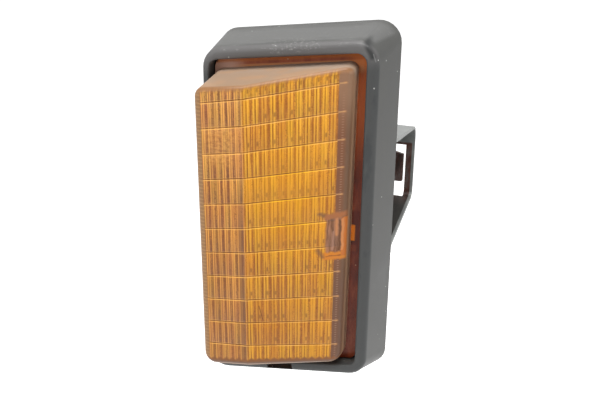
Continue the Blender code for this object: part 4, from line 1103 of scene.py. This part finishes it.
class LAMP_OT_stage(bpy.types.Operator):
    """Set up the floor, the soft light and the photograph's camera"""

    bl_idname = "lamp.stage"
    bl_label = "Stage"

    def execute(self, context):
        look = context.scene.lamp_look
        self.add_world(context, look)
        self.add_floor(look)
        for name, place, size, power in LAMPS:
            self.add_lamp(context, name, place, size, power * look.light_level)
        self.add_camera(context)
        return {"FINISHED"}

    def add_world(self, context, look):
        world = bpy.data.worlds.new("studio")
        world.use_nodes = True
        context.scene.world = world
        tree = Tree(world.node_tree)
        strength = tree.mix_value(
            seen_directly(tree), WORLD_LIGHT * look.light_level, look.backdrop_tone)
        tree.fill(world.node_tree.nodes["Background"], WHITE, strength)
        context.scene.view_settings.view_transform = "Standard"

    def add_floor(self, look):
        """A white floor below the lamp, which still takes its soft shadow."""
        clear_selection()
        bpy.ops.mesh.primitive_circle_add(
            vertices=64, radius=FLOOR_RADIUS, fill_type="NGON",
            location=(0.0, 0.0, CAD_BOUNDS[0].z - FLOOR_DROP))
        floor = bpy.context.object
        floor.name = "floor"
        material, tree = new_material("floor_white")
        fill = tree.times(seen_directly(tree), FLOOR_FILL * look.backdrop_tone)
        tree.finish({"Base Color": (0.9, 0.9, 0.9, 1.0), "Roughness": 0.9, "Emission Color": WHITE,
                     "Emission Strength": fill, "Specular IOR Level": 0.0})
        floor.data.materials.append(material)

    def add_lamp(self, context, name, place, size, power):
        """A soft, round lamp that faces the middle."""
        light = bpy.data.lights.new(name, "AREA")
        light.shape = "DISK"
        light.size = size
        light.energy = power
        lamp = bpy.data.objects.new(name, light)
        lamp.location = place
        lamp.rotation_euler = (-Vector(place)).to_track_quat("-Z", "Y").to_euler()
        context.scene.collection.objects.link(lamp)

    def add_camera(self, context):
        data = bpy.data.cameras.new("photo_camera")
        data.lens = PHOTO_FOCAL
        data.sensor_width = SENSOR_WIDTH
        data.sensor_fit = "HORIZONTAL"
        data.clip_start = NEAREST_SEEN
        camera = bpy.data.objects.new("photo_camera", data)
        turn = (Matrix.Rotation(CAMERA_AZIMUTH, 4, "Z")
                @ Matrix.Rotation(math.radians(90) - CAMERA_ELEVATION, 4, "X")
                @ Matrix.Rotation(CAMERA_ROLL, 4, "Z"))
        camera.matrix_world = Matrix.Translation(CAMERA_PLACE) @ turn
        context.scene.collection.objects.link(camera)
        context.scene.camera = camera


STEPS = (LAMP_OT_shared_finishes, LAMP_OT_lens, LAMP_OT_housing, LAMP_OT_spring_clip,
         LAMP_OT_inside, LAMP_OT_stage)


class LAMP_PT_panel(bpy.types.Panel):
    """Sidebar panel with the lamp's sizes and steps"""

    bl_idname = "LAMP_PT_panel"
    bl_label = "Side turn signal lamp"
    bl_space_type = "VIEW_3D"
    bl_region_type = "UI"
    bl_category = "Lamp"

    def draw(self, context):
        look = context.scene.lamp_look
        for name in LampLook.__annotations__:
            self.layout.prop(look, name)
        for step in STEPS:
            self.layout.operator(step.bl_idname)


def register():
    for kind in (LampLook, *STEPS, LAMP_PT_panel):
        bpy.utils.register_class(kind)
    bpy.types.Scene.lamp_look = bpy.props.PointerProperty(type=LampLook)


def unregister():
    del bpy.types.Scene.lamp_look
    for kind in (LAMP_PT_panel, *reversed(STEPS), LampLook):
        bpy.utils.unregister_class(kind)


def main():
    register()
    bpy.ops.lamp.shared_finishes()
    bpy.ops.lamp.lens()
    bpy.ops.lamp.housing()
    bpy.ops.lamp.spring_clip()
    bpy.ops.lamp.inside()
    bpy.ops.lamp.stage()


if __name__ == "__main__":
    main()
